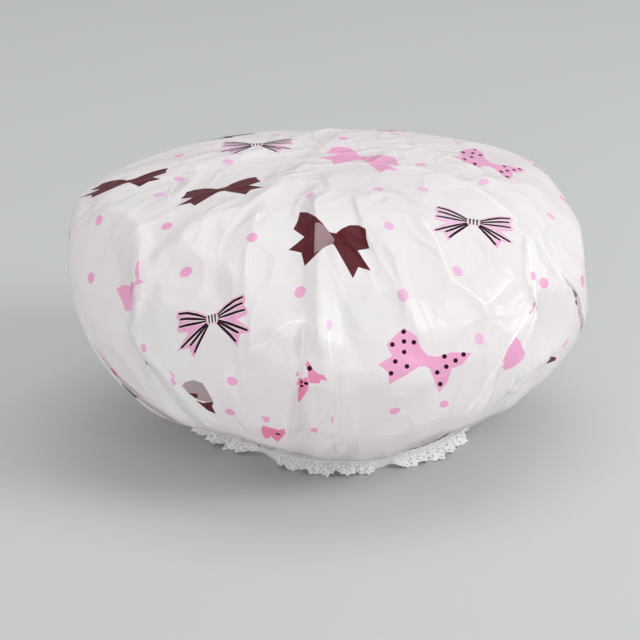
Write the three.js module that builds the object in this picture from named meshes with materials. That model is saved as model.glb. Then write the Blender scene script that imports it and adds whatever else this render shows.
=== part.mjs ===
// A shower cap lying on its opening: a puffed cap of thin frosted film, gathered by an elastic
// ring in a folded hem, with a ruffled lace trim sewn round the hem.
// Lengths are millimetres. Azimuth runs from +X, anticlockwise seen from above, and the front
// faces -Y. The cap stands on z = 0, with its bounding box centred on the Z axis.

import * as THREE from 'three';

// Film
const FILM_WALL = 0.12;
const PUFF_RADIUS = 133;
const WIDEST_HEIGHT = 80;
const CROWN_HEIGHT = 145;
const UPPER_POWER = 2.7;
const LOWER_POWER = 1.6;

// Elastic
const ELASTIC_RADIUS = 69;
const ELASTIC_WIDTH = 4;
const ELASTIC_THICKNESS = 0.8;
const ELASTIC_OVERLAP = 12;
const ELASTIC_JOIN_AZIMUTH = 96;

// Hem, lace and thread
const SEAM_HEIGHT = 8.5;
const HEM_WAVE = 0.3;
const LACE_THICKNESS = 0.6;
const LACE_HEADER_WIDTH = 2.4;
const LACE_HEADER_WAVE = 0.3;
const LACE_FLARE = 1.6;
const LACE_RUFFLE_DEPTH = 4.2;
const LACE_SCALLOP_DEPTH = 1.4;
const LACE_SINK = 0.5;
const LACE_END_GAP = 0.5;
const LACE_JOIN_AZIMUTH = 78;
const THREAD_RADIUS = 0.22;
const STITCH_RISE = 0.35;
const TACK_MARGIN = 0.5;
const CLEARANCE = 0.32;

// Folds of the film
const BILLOW_DEPTH = 2.6;
const GATHER_DEPTH = 3.2;
const FOLD_DEPTH = 5;
const FOLD_WIDTH = 10;

// Counts
const RIM_COLUMNS = 60;
const ELASTIC_COLUMNS = 72;
const RUFFLES = 36;
const COLUMNS_PER_RUFFLE = 4;
const STITCHES = 72;
const THREAD_SIDES = 4;
const TACK_STROKES = 10;

// Shares, at eight equal azimuths from +X, of the widest radius, the widest height,
// the two powers and the elastic's radius
const PUFF_SHARES = [1, 1.01, 0.975, 1, 1.02, 1, 0.982, 0.992];
const WIDEST_SHARES = [0.963, 1.088, 1.113, 1.125, 1.125, 0.975, 0.875, 0.9];
const UPPER_POWER_SHARES = [1.15, 1.18, 0.93, 1, 1.26, 1, 0.85, 0.93];
const LOWER_POWER_SHARES = [1.05, 1, 1, 1, 1.03, 1.01, 0.94, 0.95];
const ELASTIC_SHARES = [0.996, 1.01, 1.01, 1.01, 0.995, 0.81, 0.935, 0.995];

// Rows of the film from the crown to the seam, as shares of that way,
// and each row's columns as a share of the rim's
const ROW_SHARES = [0.13, 0.26, 0.38, 0.49, 0.6, 0.7, 0.8, 0.9, 1];
const COLUMN_SHARES = [0.25, 0.5, 0.5, 1, 1, 1, 1, 1, 1];
const WIDEST_SHARE = 0.6;

// Each main fold: where it runs, as [azimuth, share of the way], its depth as a share of
// FOLD_DEPTH, below zero for a valley, and its width as a share of FOLD_WIDTH
const FOLD_SHARES = [
  { along: [[198, 0.39], [217, 0.35], [227, 0.48], [226, 0.56], [232, 0.62]], depth: -1.4, width: 0.9 },
  { along: [[327, 0.38], [320, 0.5], [316, 0.6], [320, 0.78]], depth: -1.3, width: 0.9 },
  { along: [[335, 0.46], [343, 0.62]], depth: 1, width: 1.5 },
  { along: [[266, 0.3], [267, 0.5]], depth: -0.8, width: 0.7 },
  { along: [[273, 0.26], [273, 0.52]], depth: 0.9, width: 0.8 },
  { along: [[200, 0.62], [226, 0.6], [240, 0.68]], depth: 0.9, width: 1.2 },
  { along: [[253, 0.54], [262, 0.47], [272, 0.48], [276, 0.56], [309, 0.54]], depth: 0.9, width: 0.9 },
  { along: [[316, 0.19], [307, 0.47]], depth: 0.8, width: 1 },
  { along: [[320, 0.5], [303, 0.6], [294, 0.78]], depth: -0.8, width: 0.9 },
  { along: [[236, 0.17], [252, 0.43]], depth: 0.6, width: 0.8 },
  { along: [[15, 0.5], [45, 0.38], [58, 0.42]], depth: 1.1, width: 1.5 },
  { along: [[170, 0.42], [190, 0.42]], depth: 0.8, width: 1.4 },
  { along: [[92, 0.42], [82, 0.76]], depth: -1.1, width: 1 },
  { along: [[112, 0.3], [130, 0.62]], depth: 0.9, width: 1 },
  { along: [[152, 0.44], [146, 0.8]], depth: -1.2, width: 1 },
  { along: [[62, 0.52], [50, 0.8]], depth: -1.1, width: 1 },
  { along: [[20, 0.3], [8, 0.72]], depth: -0.9, width: 1 },
];

// Where the broad folds and the gathers start, peak and end, as shares of the way
const BILLOW_SPAN_SHARES = [0.3, 0.66, 0.97];
const GATHER_SPAN_SHARES = [0.6, 0.9, 1];

// The hem lies flat round the elastic, whose join and its tack set its depth
const SPIRAL_STEP = (ELASTIC_THICKNESS + CLEARANCE) / 2;
const HEM_HALF_DEPTH =
  SPIRAL_STEP + ELASTIC_THICKNESS / 2 + 2 * (CLEARANCE + THREAD_RADIUS) + HEM_WAVE + FILM_WALL / 2;
const HEM_DROP = ELASTIC_WIDTH + 2 * CLEARANCE + FILM_WALL / 2;
const LACE_OFFSET =
  HEM_HALF_DEPTH + FILM_WALL / 2 + HEM_WAVE + CLEARANCE + LACE_THICKNESS / 2 + LACE_HEADER_WAVE;
const LACE_TOP = SEAM_HEIGHT - CLEARANCE;
const STITCH_HEIGHT = LACE_TOP - LACE_HEADER_WIDTH / 2;
const NEEDLE_OFFSET = LACE_OFFSET + LACE_THICKNESS / 2 + LACE_HEADER_WAVE + CLEARANCE + THREAD_RADIUS;
const BOBBIN_OFFSET = -(HEM_HALF_DEPTH + FILM_WALL / 2 + HEM_WAVE + CLEARANCE + THREAD_RADIUS);

const FULL_TURN = 2 * Math.PI;

const radians = THREE.MathUtils.degToRad;

// A smooth closed curve through values at equal azimuths
function around(values, azimuth) {
  const place = THREE.MathUtils.euclideanModulo(azimuth / FULL_TURN, 1) * values.length;
  const i = Math.floor(place);
  const at = (k) => values[(i + k + values.length) % values.length];
  const f = place - i;
  const bend = 2 * at(-1) - 5 * at(0) + 4 * at(1) - at(2);
  const twist = 3 * (at(0) - at(1)) + at(2) - at(-1);
  return at(0) + (f / 2) * (at(1) - at(-1) + f * (bend + f * twist));
}

function elasticRadius(azimuth) {
  return ELASTIC_RADIUS * around(ELASTIC_SHARES, azimuth);
}

function polar(azimuth, radius, z) {
  return new THREE.Vector3(radius * Math.cos(azimuth), radius * Math.sin(azimuth), z);
}

// The puffed shape without its folds: a share of 0 is the crown, 1 the seam
function smoothPoint(azimuth, share) {
  const rim = elasticRadius(azimuth) + HEM_HALF_DEPTH;
  const wide = PUFF_RADIUS * around(PUFF_SHARES, azimuth);
  const height = WIDEST_HEIGHT * around(WIDEST_SHARES, azimuth);
  if (share < WIDEST_SHARE) {
    const turn = (share / WIDEST_SHARE) * (Math.PI / 2);
    const power = 2 / (UPPER_POWER * around(UPPER_POWER_SHARES, azimuth));
    const z = height + (CROWN_HEIGHT - height) * Math.cos(turn) ** power;
    return polar(azimuth, wide * Math.sin(turn) ** power, z);
  }
  const turn = Math.min((share - WIDEST_SHARE) / (1 - WIDEST_SHARE), 1) * (Math.PI / 2);
  const power = 2 / (LOWER_POWER * around(LOWER_POWER_SHARES, azimuth));
  const z = height - (height - SEAM_HEIGHT) * Math.sin(turn) ** power;
  const cosine = Math.max(Math.cos(turn), 0);
  return polar(azimuth, rim + (wide - rim) * cosine ** power, z);
}

function smoothNormal(azimuth, share) {
  const step = 0.01;
  const along = smoothPoint(azimuth, Math.min(share + step, 1));
  along.sub(smoothPoint(azimuth, Math.max(share - step, step)));
  const across = smoothPoint(azimuth + step, share).sub(smoothPoint(azimuth - step, share));
  return along.cross(across).normalize();
}

// Rises from 0 at the span's start to 1 at its peak, and falls to 0 at its end
function swell([start, peak, end], share) {
  if (share < peak) return THREE.MathUtils.smoothstep(share, start, peak);
  return 1 - THREE.MathUtils.smoothstep(share, peak, end);
}

// Distance in millimetres from a place on the film to a fold's line
function foldDistance(line, azimuth, share) {
  const place = smoothPoint(azimuth, share);
  const points = line.map(([degrees, way]) => smoothPoint(radians(degrees), way));
  const nearest = new THREE.Vector3();
  let least = Infinity;
  for (let i = 0; i + 1 < points.length; i++) {
    new THREE.Line3(points[i], points[i + 1]).closestPointToPoint(place, true, nearest);
    least = Math.min(least, nearest.distanceTo(place));
  }
  return least;
}

function mainFolds(azimuth, share) {
  let height = 0;
  for (const fold of FOLD_SHARES) {
    const away = foldDistance(fold.along, azimuth, share) / (FOLD_WIDTH * fold.width);
    height += FOLD_DEPTH * fold.depth * Math.exp(-away * away);
  }
  return height;
}

// Broad folds, uneven round the cap, that split into the tight gathers of the hem
function gathers(azimuth, share) {
  const folds = RIM_COLUMNS / 4;
  const uneven = 1 + Math.cos(3 * azimuth + 1) / 3;
  const billow = BILLOW_DEPTH * uneven * Math.cos(folds * azimuth + Math.sin(2 * azimuth));
  const tight = GATHER_DEPTH * Math.cos((RIM_COLUMNS / 2) * azimuth);
  return billow * swell(BILLOW_SPAN_SHARES, share) + tight * swell(GATHER_SPAN_SHARES, share);
}

function filmPoint(azimuth, share) {
  const seam = 1 - swell([WIDEST_SHARE, 1, 1], share);
  const lift = mainFolds(azimuth, share) * seam + gathers(azimuth, share);
  return smoothPoint(azimuth, share).addScaledVector(smoothNormal(azimuth, share), lift);
}

function hemRow(side, z) {
  const row = [];
  for (let i = 0; i < RIM_COLUMNS; i++) {
    const azimuth = (i / RIM_COLUMNS) * FULL_TURN;
    const wave = HEM_WAVE * Math.cos((RIM_COLUMNS / 2) * azimuth);
    row.push(polar(azimuth, elasticRadius(azimuth) + side * HEM_HALF_DEPTH + wave, z));
  }
  return row;
}

// Triangles between two closed rows with their outer side out, where the lower row
// has as many points as the upper one, or twice as many
function bandTriangles(upper, lower, upperCount, lowerCount) {
  const triangles = [];
  for (let i = 0; i < upperCount; i++) {
    const a = upper + i;
    const d = upper + ((i + 1) % upperCount);
    const step = lowerCount / upperCount;
    const b = lower + i * step;
    const c = lower + ((i * step + step) % lowerCount);
    if (step === 1) {
      triangles.push([a, b, c], [a, c, d]);
    } else {
      triangles.push([a, b, b + 1], [a, b + 1, d], [d, b + 1, c]);
    }
  }
  return triangles;
}

// A closed solid of the given thickness, half on each side of an open surface
function thicken(points, triangles, thickness) {
  const surface = new THREE.BufferGeometry().setFromPoints(points);
  surface.setIndex(triangles.flat());
  surface.computeVertexNormals();
  const normals = surface.getAttribute('normal');
  const outer = [];
  const inner = [];
  points.forEach((point, i) => {
    const normal = new THREE.Vector3().fromBufferAttribute(normals, i);
    outer.push(point.clone().addScaledVector(normal, thickness / 2));
    inner.push(point.clone().addScaledVector(normal, -thickness / 2));
  });
  const faces = [];
  const edges = new Map();
  for (const [a, b, c] of triangles) {
    faces.push(a, b, c, points.length + a, points.length + c, points.length + b);
    for (const [from, to] of [[a, b], [b, c], [c, a]]) {
      edges.set(`${from},${to}`, [from, to]);
    }
  }
  for (const [from, to] of edges.values()) {
    if (edges.has(`${to},${from}`)) continue;
    faces.push(to, from, points.length + from, to, points.length + from, points.length + to);
  }
  const solid = new THREE.BufferGeometry().setFromPoints([...outer, ...inner]);
  solid.setIndex(faces);
  solid.computeVertexNormals();
  return solid;
}

// The film from its crown down to the seam, then folded round the elastic as a hem
function crownFilm() {
  const rows = ROW_SHARES.map((share, r) => {
    const columns = Math.round(RIM_COLUMNS * COLUMN_SHARES[r]);
    return Array.from({ length: columns }, (_, i) => filmPoint((i / columns) * FULL_TURN, share));
  });
  rows.push(hemRow(1, SEAM_HEIGHT - HEM_DROP));
  rows.push(hemRow(-1, SEAM_HEIGHT - HEM_DROP));
  rows.push(hemRow(-1, SEAM_HEIGHT));
  const points = [polar(0, 0, CROWN_HEIGHT)];
  const triangles = [];
  let upper = 0;
  rows.forEach((row, r) => {
    const lower = points.length;
    points.push(...row);
    if (r > 0) {
      triangles.push(...bandTriangles(upper, lower, rows[r - 1].length, row.length));
    } else {
      row.forEach((_, i) => triangles.push([upper, lower + i, lower + ((i + 1) % row.length)]));
    }
    upper = lower;
  });
  return thicken(points, triangles, FILM_WALL);
}

// An open strip between its end columns, from rows of points with the upper row first
function strip(rows, thickness) {
  const columns = rows[0].length;
  const triangles = [];
  for (let r = 0; r + 1 < rows.length; r++) {
    for (let i = 0; i + 1 < columns; i++) {
      const a = r * columns + i;
      const b = a + columns;
      triangles.push([a, b, b + 1], [a, b + 1, a + 1]);
    }
  }
  return thicken(rows.flat(), triangles, thickness);
}

// A flat band that goes once round and a little more, so that its ends lie on each other
function elasticBand() {
  const join = radians(ELASTIC_JOIN_AZIMUTH);
  const extra = ELASTIC_OVERLAP / elasticRadius(join);
  const bottom = SEAM_HEIGHT - ELASTIC_WIDTH - CLEARANCE;
  const rows = [bottom + ELASTIC_WIDTH, bottom].map((z) =>
    Array.from({ length: ELASTIC_COLUMNS + 1 }, (_, i) => {
      const way = i / ELASTIC_COLUMNS;
      const azimuth = join - extra / 2 + way * (FULL_TURN + extra);
      return polar(azimuth, elasticRadius(azimuth) + (2 * way - 1) * SPIRAL_STEP, z);
    }),
  );
  return strip(rows, ELASTIC_THICKNESS);
}

function laceWave(azimuth) {
  return Math.cos(RUFFLES * azimuth);
}

// A gathered ribbon: a nearly flat header under the stitches, then ruffles that flare
// to a scalloped edge, pressed flat where it stands
function laceTrim() {
  const join = radians(LACE_JOIN_AZIMUTH);
  const columns = RUFFLES * COLUMNS_PER_RUFFLE;
  const gap = LACE_END_GAP / elasticRadius(join);
  const levels = [
    { z: LACE_TOP, flare: 0, wave: LACE_HEADER_WAVE },
    { z: LACE_TOP - LACE_HEADER_WIDTH, flare: 0, wave: LACE_HEADER_WAVE },
    { z: (LACE_TOP - LACE_HEADER_WIDTH) / 2, flare: LACE_FLARE, wave: LACE_RUFFLE_DEPTH / 2 },
    { z: -LACE_SINK, flare: 2 * LACE_FLARE, wave: LACE_RUFFLE_DEPTH },
  ];
  const rows = levels.map((level, r) =>
    Array.from({ length: columns + 1 }, (_, i) => {
      const azimuth = join + gap / 2 + (i / columns) * (FULL_TURN - gap);
      const uneven = 1 + Math.sin(5 * azimuth) / 4;
      const ruffle = level.wave * (r > 1 ? uneven : 1) * laceWave(azimuth);
      const lowest = r === levels.length - 1;
      const scallop = lowest && i % COLUMNS_PER_RUFFLE > 1 ? LACE_SCALLOP_DEPTH : 0;
      const radius = elasticRadius(azimuth) + LACE_OFFSET + level.flare + ruffle;
      return polar(azimuth, Math.max(radius, elasticRadius(azimuth) + LACE_OFFSET), level.z + scallop);
    }),
  );
  const solid = strip(rows, LACE_THICKNESS);
  const position = solid.getAttribute('position');
  for (let i = 0; i < position.count; i++) {
    position.setZ(i, Math.max(position.getZ(i), 0));
  }
  return solid;
}

// A thread through a list of points, as one closed ring or with two cut ends
function thread(points, closed) {
  const count = points.length;
  const vertices = [];
  points.forEach((point, i) => {
    const before = points[closed ? (i + count - 1) % count : Math.max(i - 1, 0)];
    const after = points[closed ? (i + 1) % count : Math.min(i + 1, count - 1)];
    const tangent = after.clone().sub(before).normalize();
    const side = tangent.clone().cross(new THREE.Vector3(point.x, point.y, 0)).normalize();
    const out = side.clone().cross(tangent);
    for (let k = 0; k < THREAD_SIDES; k++) {
      const turn = (k / THREAD_SIDES) * FULL_TURN;
      const corner = point.clone().addScaledVector(out, THREAD_RADIUS * Math.cos(turn));
      vertices.push(corner.addScaledVector(side, THREAD_RADIUS * Math.sin(turn)));
    }
  });
  const faces = [];
  for (let i = 0; i < (closed ? count : count - 1); i++) {
    const here = i * THREAD_SIDES;
    const next = ((i + 1) % count) * THREAD_SIDES;
    for (let k = 0; k < THREAD_SIDES; k++) {
      const turned = (k + 1) % THREAD_SIDES;
      faces.push(here + k, next + turned, next + k);
      faces.push(here + k, here + turned, next + turned);
    }
  }
  if (!closed) {
    const last = (count - 1) * THREAD_SIDES;
    for (let k = 1; k + 1 < THREAD_SIDES; k++) {
      faces.push(0, k + 1, k, last, last + k, last + k + 1);
    }
  }
  const solid = new THREE.BufferGeometry().setFromPoints(vertices);
  solid.setIndex(faces);
  solid.computeVertexNormals();
  return solid;
}

// One line of stitches round the hem, each rising from the cloth and back to it
function stitchRing(offset, rise) {
  const steps = 2 * STITCHES;
  const points = Array.from({ length: steps }, (_, i) => {
    const azimuth = (i / steps) * FULL_TURN;
    const lift = i % 2 ? rise : 0;
    return polar(azimuth, elasticRadius(azimuth) + offset + lift, STITCH_HEIGHT);
  });
  return thread(points, true);
}

// Zigzag strokes between two heights, centred on an azimuth
function tack(azimuth, width, offset, top, bottom) {
  const points = Array.from({ length: TACK_STROKES }, (_, i) => {
    const shift = (i / (TACK_STROKES - 1) - 1 / 2) * width;
    const angle = azimuth + shift / elasticRadius(azimuth);
    return polar(angle, elasticRadius(angle) + offset, i % 2 ? top : bottom);
  });
  return thread(points, false);
}

function elasticJoinThread() {
  const offset = SPIRAL_STEP + ELASTIC_THICKNESS / 2 + CLEARANCE + THREAD_RADIUS;
  const top = SEAM_HEIGHT - CLEARANCE - TACK_MARGIN;
  const width = ELASTIC_OVERLAP - 4 * TACK_MARGIN;
  return tack(radians(ELASTIC_JOIN_AZIMUTH), width, offset, top, top - ELASTIC_WIDTH + 2 * TACK_MARGIN);
}

function laceJoinThread() {
  const top = STITCH_HEIGHT - 2 * THREAD_RADIUS - CLEARANCE;
  const bottom = LACE_TOP - LACE_HEADER_WIDTH;
  return tack(radians(LACE_JOIN_AZIMUTH), LACE_HEADER_WIDTH, NEEDLE_OFFSET, top, bottom);
}

const film = new THREE.MeshStandardMaterial({ color: 0xf1eef0, roughness: 0.35, metalness: 0 });
const rubber = new THREE.MeshStandardMaterial({ color: 0xeeece6, roughness: 0.8, metalness: 0 });
const lace = new THREE.MeshStandardMaterial({ color: 0xf7f7f5, roughness: 0.9, metalness: 0 });
const cotton = new THREE.MeshStandardMaterial({ color: 0xfafafa, roughness: 0.7, metalness: 0 });

const group = new THREE.Group();

function add(name, geometry, material) {
  const mesh = new THREE.Mesh(geometry, material);
  mesh.name = name;
  group.add(mesh);
}

add('crown_film', crownFilm(), film);
add('elastic_band', elasticBand(), rubber);
add('elastic_join_thread', elasticJoinThread(), cotton);
add('lace_trim', laceTrim(), lace);
add('lace_join_thread', laceJoinThread(), cotton);
add('needle_thread', stitchRing(NEEDLE_OFFSET, STITCH_RISE), cotton);
add('bobbin_thread', stitchRing(BOBBIN_OFFSET, -STITCH_RISE), cotton);

export default group;
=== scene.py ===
"""A shower cap of printed frosted film, standing on its lace on a pale floor.

Lengths are metres. Azimuth runs from +X, anticlockwise seen from above, and the front faces -Y.
A place on the film is an azimuth and a share of the way from the crown, 0, to the seam, 1.
"""

import math
from functools import partial

import bmesh
import bpy
import numpy as np
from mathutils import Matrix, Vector
from mathutils.bvhtree import BVHTree
from mathutils.geometry import delaunay_2d_cdt


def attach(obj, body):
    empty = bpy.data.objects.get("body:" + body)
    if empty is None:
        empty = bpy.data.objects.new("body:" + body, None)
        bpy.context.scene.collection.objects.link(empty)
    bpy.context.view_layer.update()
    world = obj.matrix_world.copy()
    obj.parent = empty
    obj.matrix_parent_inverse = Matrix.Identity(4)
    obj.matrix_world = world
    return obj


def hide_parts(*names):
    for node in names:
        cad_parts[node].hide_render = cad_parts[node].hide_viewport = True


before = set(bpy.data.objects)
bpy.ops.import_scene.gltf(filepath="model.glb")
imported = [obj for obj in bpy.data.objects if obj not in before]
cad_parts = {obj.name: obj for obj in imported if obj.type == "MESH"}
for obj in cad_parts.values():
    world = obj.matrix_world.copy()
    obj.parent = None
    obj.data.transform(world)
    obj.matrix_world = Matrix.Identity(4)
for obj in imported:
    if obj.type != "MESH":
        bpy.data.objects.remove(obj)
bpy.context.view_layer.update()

MM = 0.001
FULL_TURN = 2 * math.pi
# Keeps a division away from zero
TINY = 1e-12

# Camera: the photograph is 640 pixels wide, and the cap's middle is at this pixel
PHOTO_SIZE = 640
AIM = Vector((0, 0, 70 * MM))
AIM_PIXEL = (328, 296)
ELEVATION = math.radians(19.5)
DISTANCE = 1.15
METRES_PER_PIXEL = 0.52 * MM
SENSOR = 36

RIGHT = Vector((1, 0, 0))
UP = Vector((0, math.sin(ELEVATION), math.cos(ELEVATION)))

camera_data = bpy.data.cameras.new("camera")
camera = bpy.data.objects.new("camera", camera_data)
bpy.context.scene.collection.objects.link(camera)
camera.location = AIM + DISTANCE * Vector((0, -math.cos(ELEVATION), math.sin(ELEVATION)))
camera.rotation_euler = (math.pi / 2 - ELEVATION, 0, 0)
camera_data.sensor_width = SENSOR
camera_data.lens = DISTANCE / METRES_PER_PIXEL / PHOTO_SIZE * SENSOR
camera_data.shift_x = (PHOTO_SIZE / 2 - AIM_PIXEL[0]) / PHOTO_SIZE
camera_data.shift_y = (AIM_PIXEL[1] - PHOTO_SIZE / 2) / PHOTO_SIZE
bpy.context.scene.camera = camera


def pixel_way(pixel):
    """The direction from the camera through a pixel of the photograph."""
    across = (pixel[0] - AIM_PIXEL[0]) * METRES_PER_PIXEL
    rise = (AIM_PIXEL[1] - pixel[1]) * METRES_PER_PIXEL
    return (AIM + across * RIGHT + rise * UP - camera.location).normalized()


# Film: the puffed shape of the CAD model, with a little more puff at the right, where the deep fold
# draws it in. The lists of shares go round the cap in equal steps.
PUFF_RADIUS = 133 * MM
WIDEST_HEIGHT = 80 * MM
CROWN_HEIGHT = 145 * MM
SEAM_HEIGHT = 8.5 * MM
ELASTIC_RADIUS = 69 * MM
ELASTIC_WIDTH = 4 * MM
ELASTIC_THICKNESS = 0.8 * MM
FILM_WALL = 0.12 * MM
UPPER_POWER = 2.7
LOWER_POWER = 1.6
WIDEST_SHARE = 0.6
PUFF_SHARES = [1.025, 1.01, 0.975, 1, 1.02, 1, 0.982, 0.992]
WIDEST_SHARES = [0.963, 1.088, 1.113, 1.125, 1.125, 0.975, 0.875, 0.9]
UPPER_POWER_SHARES = [1.15, 1.18, 0.93, 1, 1.26, 1, 0.85, 0.93]
LOWER_POWER_SHARES = [1.05, 1, 1, 1, 1.03, 1.01, 0.94, 0.95]
ELASTIC_SHARES = [0.996, 1.01, 1.01, 1.01, 0.995, 0.81, 0.935, 0.995]

# Hem, and where the lace is sewn on, as in the CAD model
CLEARANCE = 0.32 * MM
THREAD_RADIUS = 0.22 * MM
HEM_WAVE = 0.3 * MM
SPIRAL_STEP = (ELASTIC_THICKNESS + CLEARANCE) / 2
TACK_ROOM = 2 * (CLEARANCE + THREAD_RADIUS)
HEM_HALF_DEPTH = SPIRAL_STEP + ELASTIC_THICKNESS / 2 + TACK_ROOM + HEM_WAVE + FILM_WALL / 2
HEM_DROP = ELASTIC_WIDTH + 2 * CLEARANCE + FILM_WALL / 2
LACE_THICKNESS = 0.6 * MM
LACE_OFFSET = HEM_HALF_DEPTH + FILM_WALL / 2 + HEM_WAVE + CLEARANCE + LACE_THICKNESS / 2 + HEM_WAVE
LACE_TOP = SEAM_HEIGHT - CLEARANCE
LACE_HEADER_WIDTH = 2.4 * MM
LACE_JOIN_AZIMUTH = math.radians(78)
LACE_END_GAP = 0.5 * MM

# The disc of film: rings of points from the crown to the seam, and the hem's width beyond the seam
FILM_RINGS = 150
DISC_RADIUS = 273 * MM
# A point is on the disc's edge from this share of its radius, and a small turn keeps the first one first
EDGE_SHARE = 1 - 1e-5
EDGE_TURN = 1e-4

# Rows of points in the hem: down outside the elastic, round under it, up inside it, and three more
# where the cut edge stands in frills, with how high and how deep in millimetres each of those is
HEM_SIDE_ROWS = 3
HEM_BEND_ROWS = 9
HEM_OUTER_STEP = 1.2 * MM
HEM_INNER_STEP = 0.9 * MM
HEM_BEND = 0.9 * MM
FRILL_ROWS = [(0.1, 0.5), (0.6, 0.9), (1.1, 1.2)]
FRILL_LEAN = 0.4

# Pleats: the azimuths and shares that each runs through, its weight in taking up the spare film,
# and which side lies on top
PLEAT_LIFT = 1.0 * MM
PLEAT_FADE = 12 * MM
PLEATED_SHARE = 0.86
PLEAT_GROWTH = 0.5
PLEAT_STEEPNESS = 3
FULL_PLEAT = 9 * MM
LEAST_WEIGHT = 0.8
RING_POINTS = 200
MAIN_PLEATS = [
    {
        "along": [(215, 0.36), (222, 0.4), (225, 0.5), (224.7, 0.575), (229, 0.61), (238, 0.72),
                  (248, 0.85), (254, 1)],
        "weight": 1.6,
        "top": -1,
    },
    {
        "along": [(327, 0.38), (322, 0.445), (321, 0.51), (316.5, 0.586), (314.5, 0.66), (316, 0.735),
                  (320, 1)],
        "weight": 1.6,
        "top": 1,
    },
    {"along": [(334, 0.42), (337, 0.53), (342, 0.6), (348, 0.67), (352, 1)], "weight": 0.9, "top": -1},
    {
        "along": [(319, 0.53), (313, 0.563), (308.5, 0.615), (306, 0.7), (303, 0.76), (298, 0.88), (296, 1)],
        "weight": 0.9,
        "top": 1,
    },
    {"along": [(266, 0.46), (264.5, 0.62), (263, 0.85), (264, 1)], "weight": 0.9, "top": -1},
    {"along": [(277, 0.72), (276, 0.85), (276, 1)], "weight": 0.6, "top": 1},
    {"along": [(12, 0.38), (8, 0.75), (6, 1)], "weight": 1, "top": -1},
    {"along": [(44, 0.5), (38, 0.8), (36, 1)], "weight": 1, "top": 1},
    {"along": [(72, 0.42), (70, 0.75), (66, 1)], "weight": 1, "top": -1},
    {"along": [(100, 0.36), (94, 0.7), (96, 1)], "weight": 1.2, "top": 1},
    {"along": [(126, 0.5), (126, 0.8), (124, 1)], "weight": 1, "top": -1},
    {"along": [(152, 0.4), (148, 0.7), (152, 1)], "weight": 1.1, "top": 1},
    {"along": [(176, 0.48), (176, 0.75), (180, 1)], "weight": 1, "top": -1},
    {"along": [(204, 0.6), (212, 0.8), (216, 1)], "weight": 0.9, "top": 1},
]
# Small pleats between them, next to the seam: the last three vary where each starts and how it leans
SMALL_PLEAT_START = 0.8
SMALL_PLEAT_WEIGHT = 0.7
SMALL_PLEAT_SHIFT = 0.05
SMALL_PLEAT_WAVE = 4
SMALL_PLEAT_LEAN = 1.5

# Pixels of the photograph that both a crease and a pressed fold go through
FRONT_ARCH = [(249, 350), (266, 343.5), (276.5, 331), (290, 322), (303.5, 320.5), (317, 326)]
RIGHT_SLOPE = [(425, 221), (438.5, 243.5), (445, 263), (452, 279), (474, 294), (485, 305)]
RIGHT_SPUR = [(510, 280), (496, 296), (485, 305)]
LEFT_SLOPE = [(132, 330), (141, 345), (163, 369), (184, 396), (206, 415), (222, 427)]
LEFT_SPUR = [(144, 291), (138, 315), (132, 330)]

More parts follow.
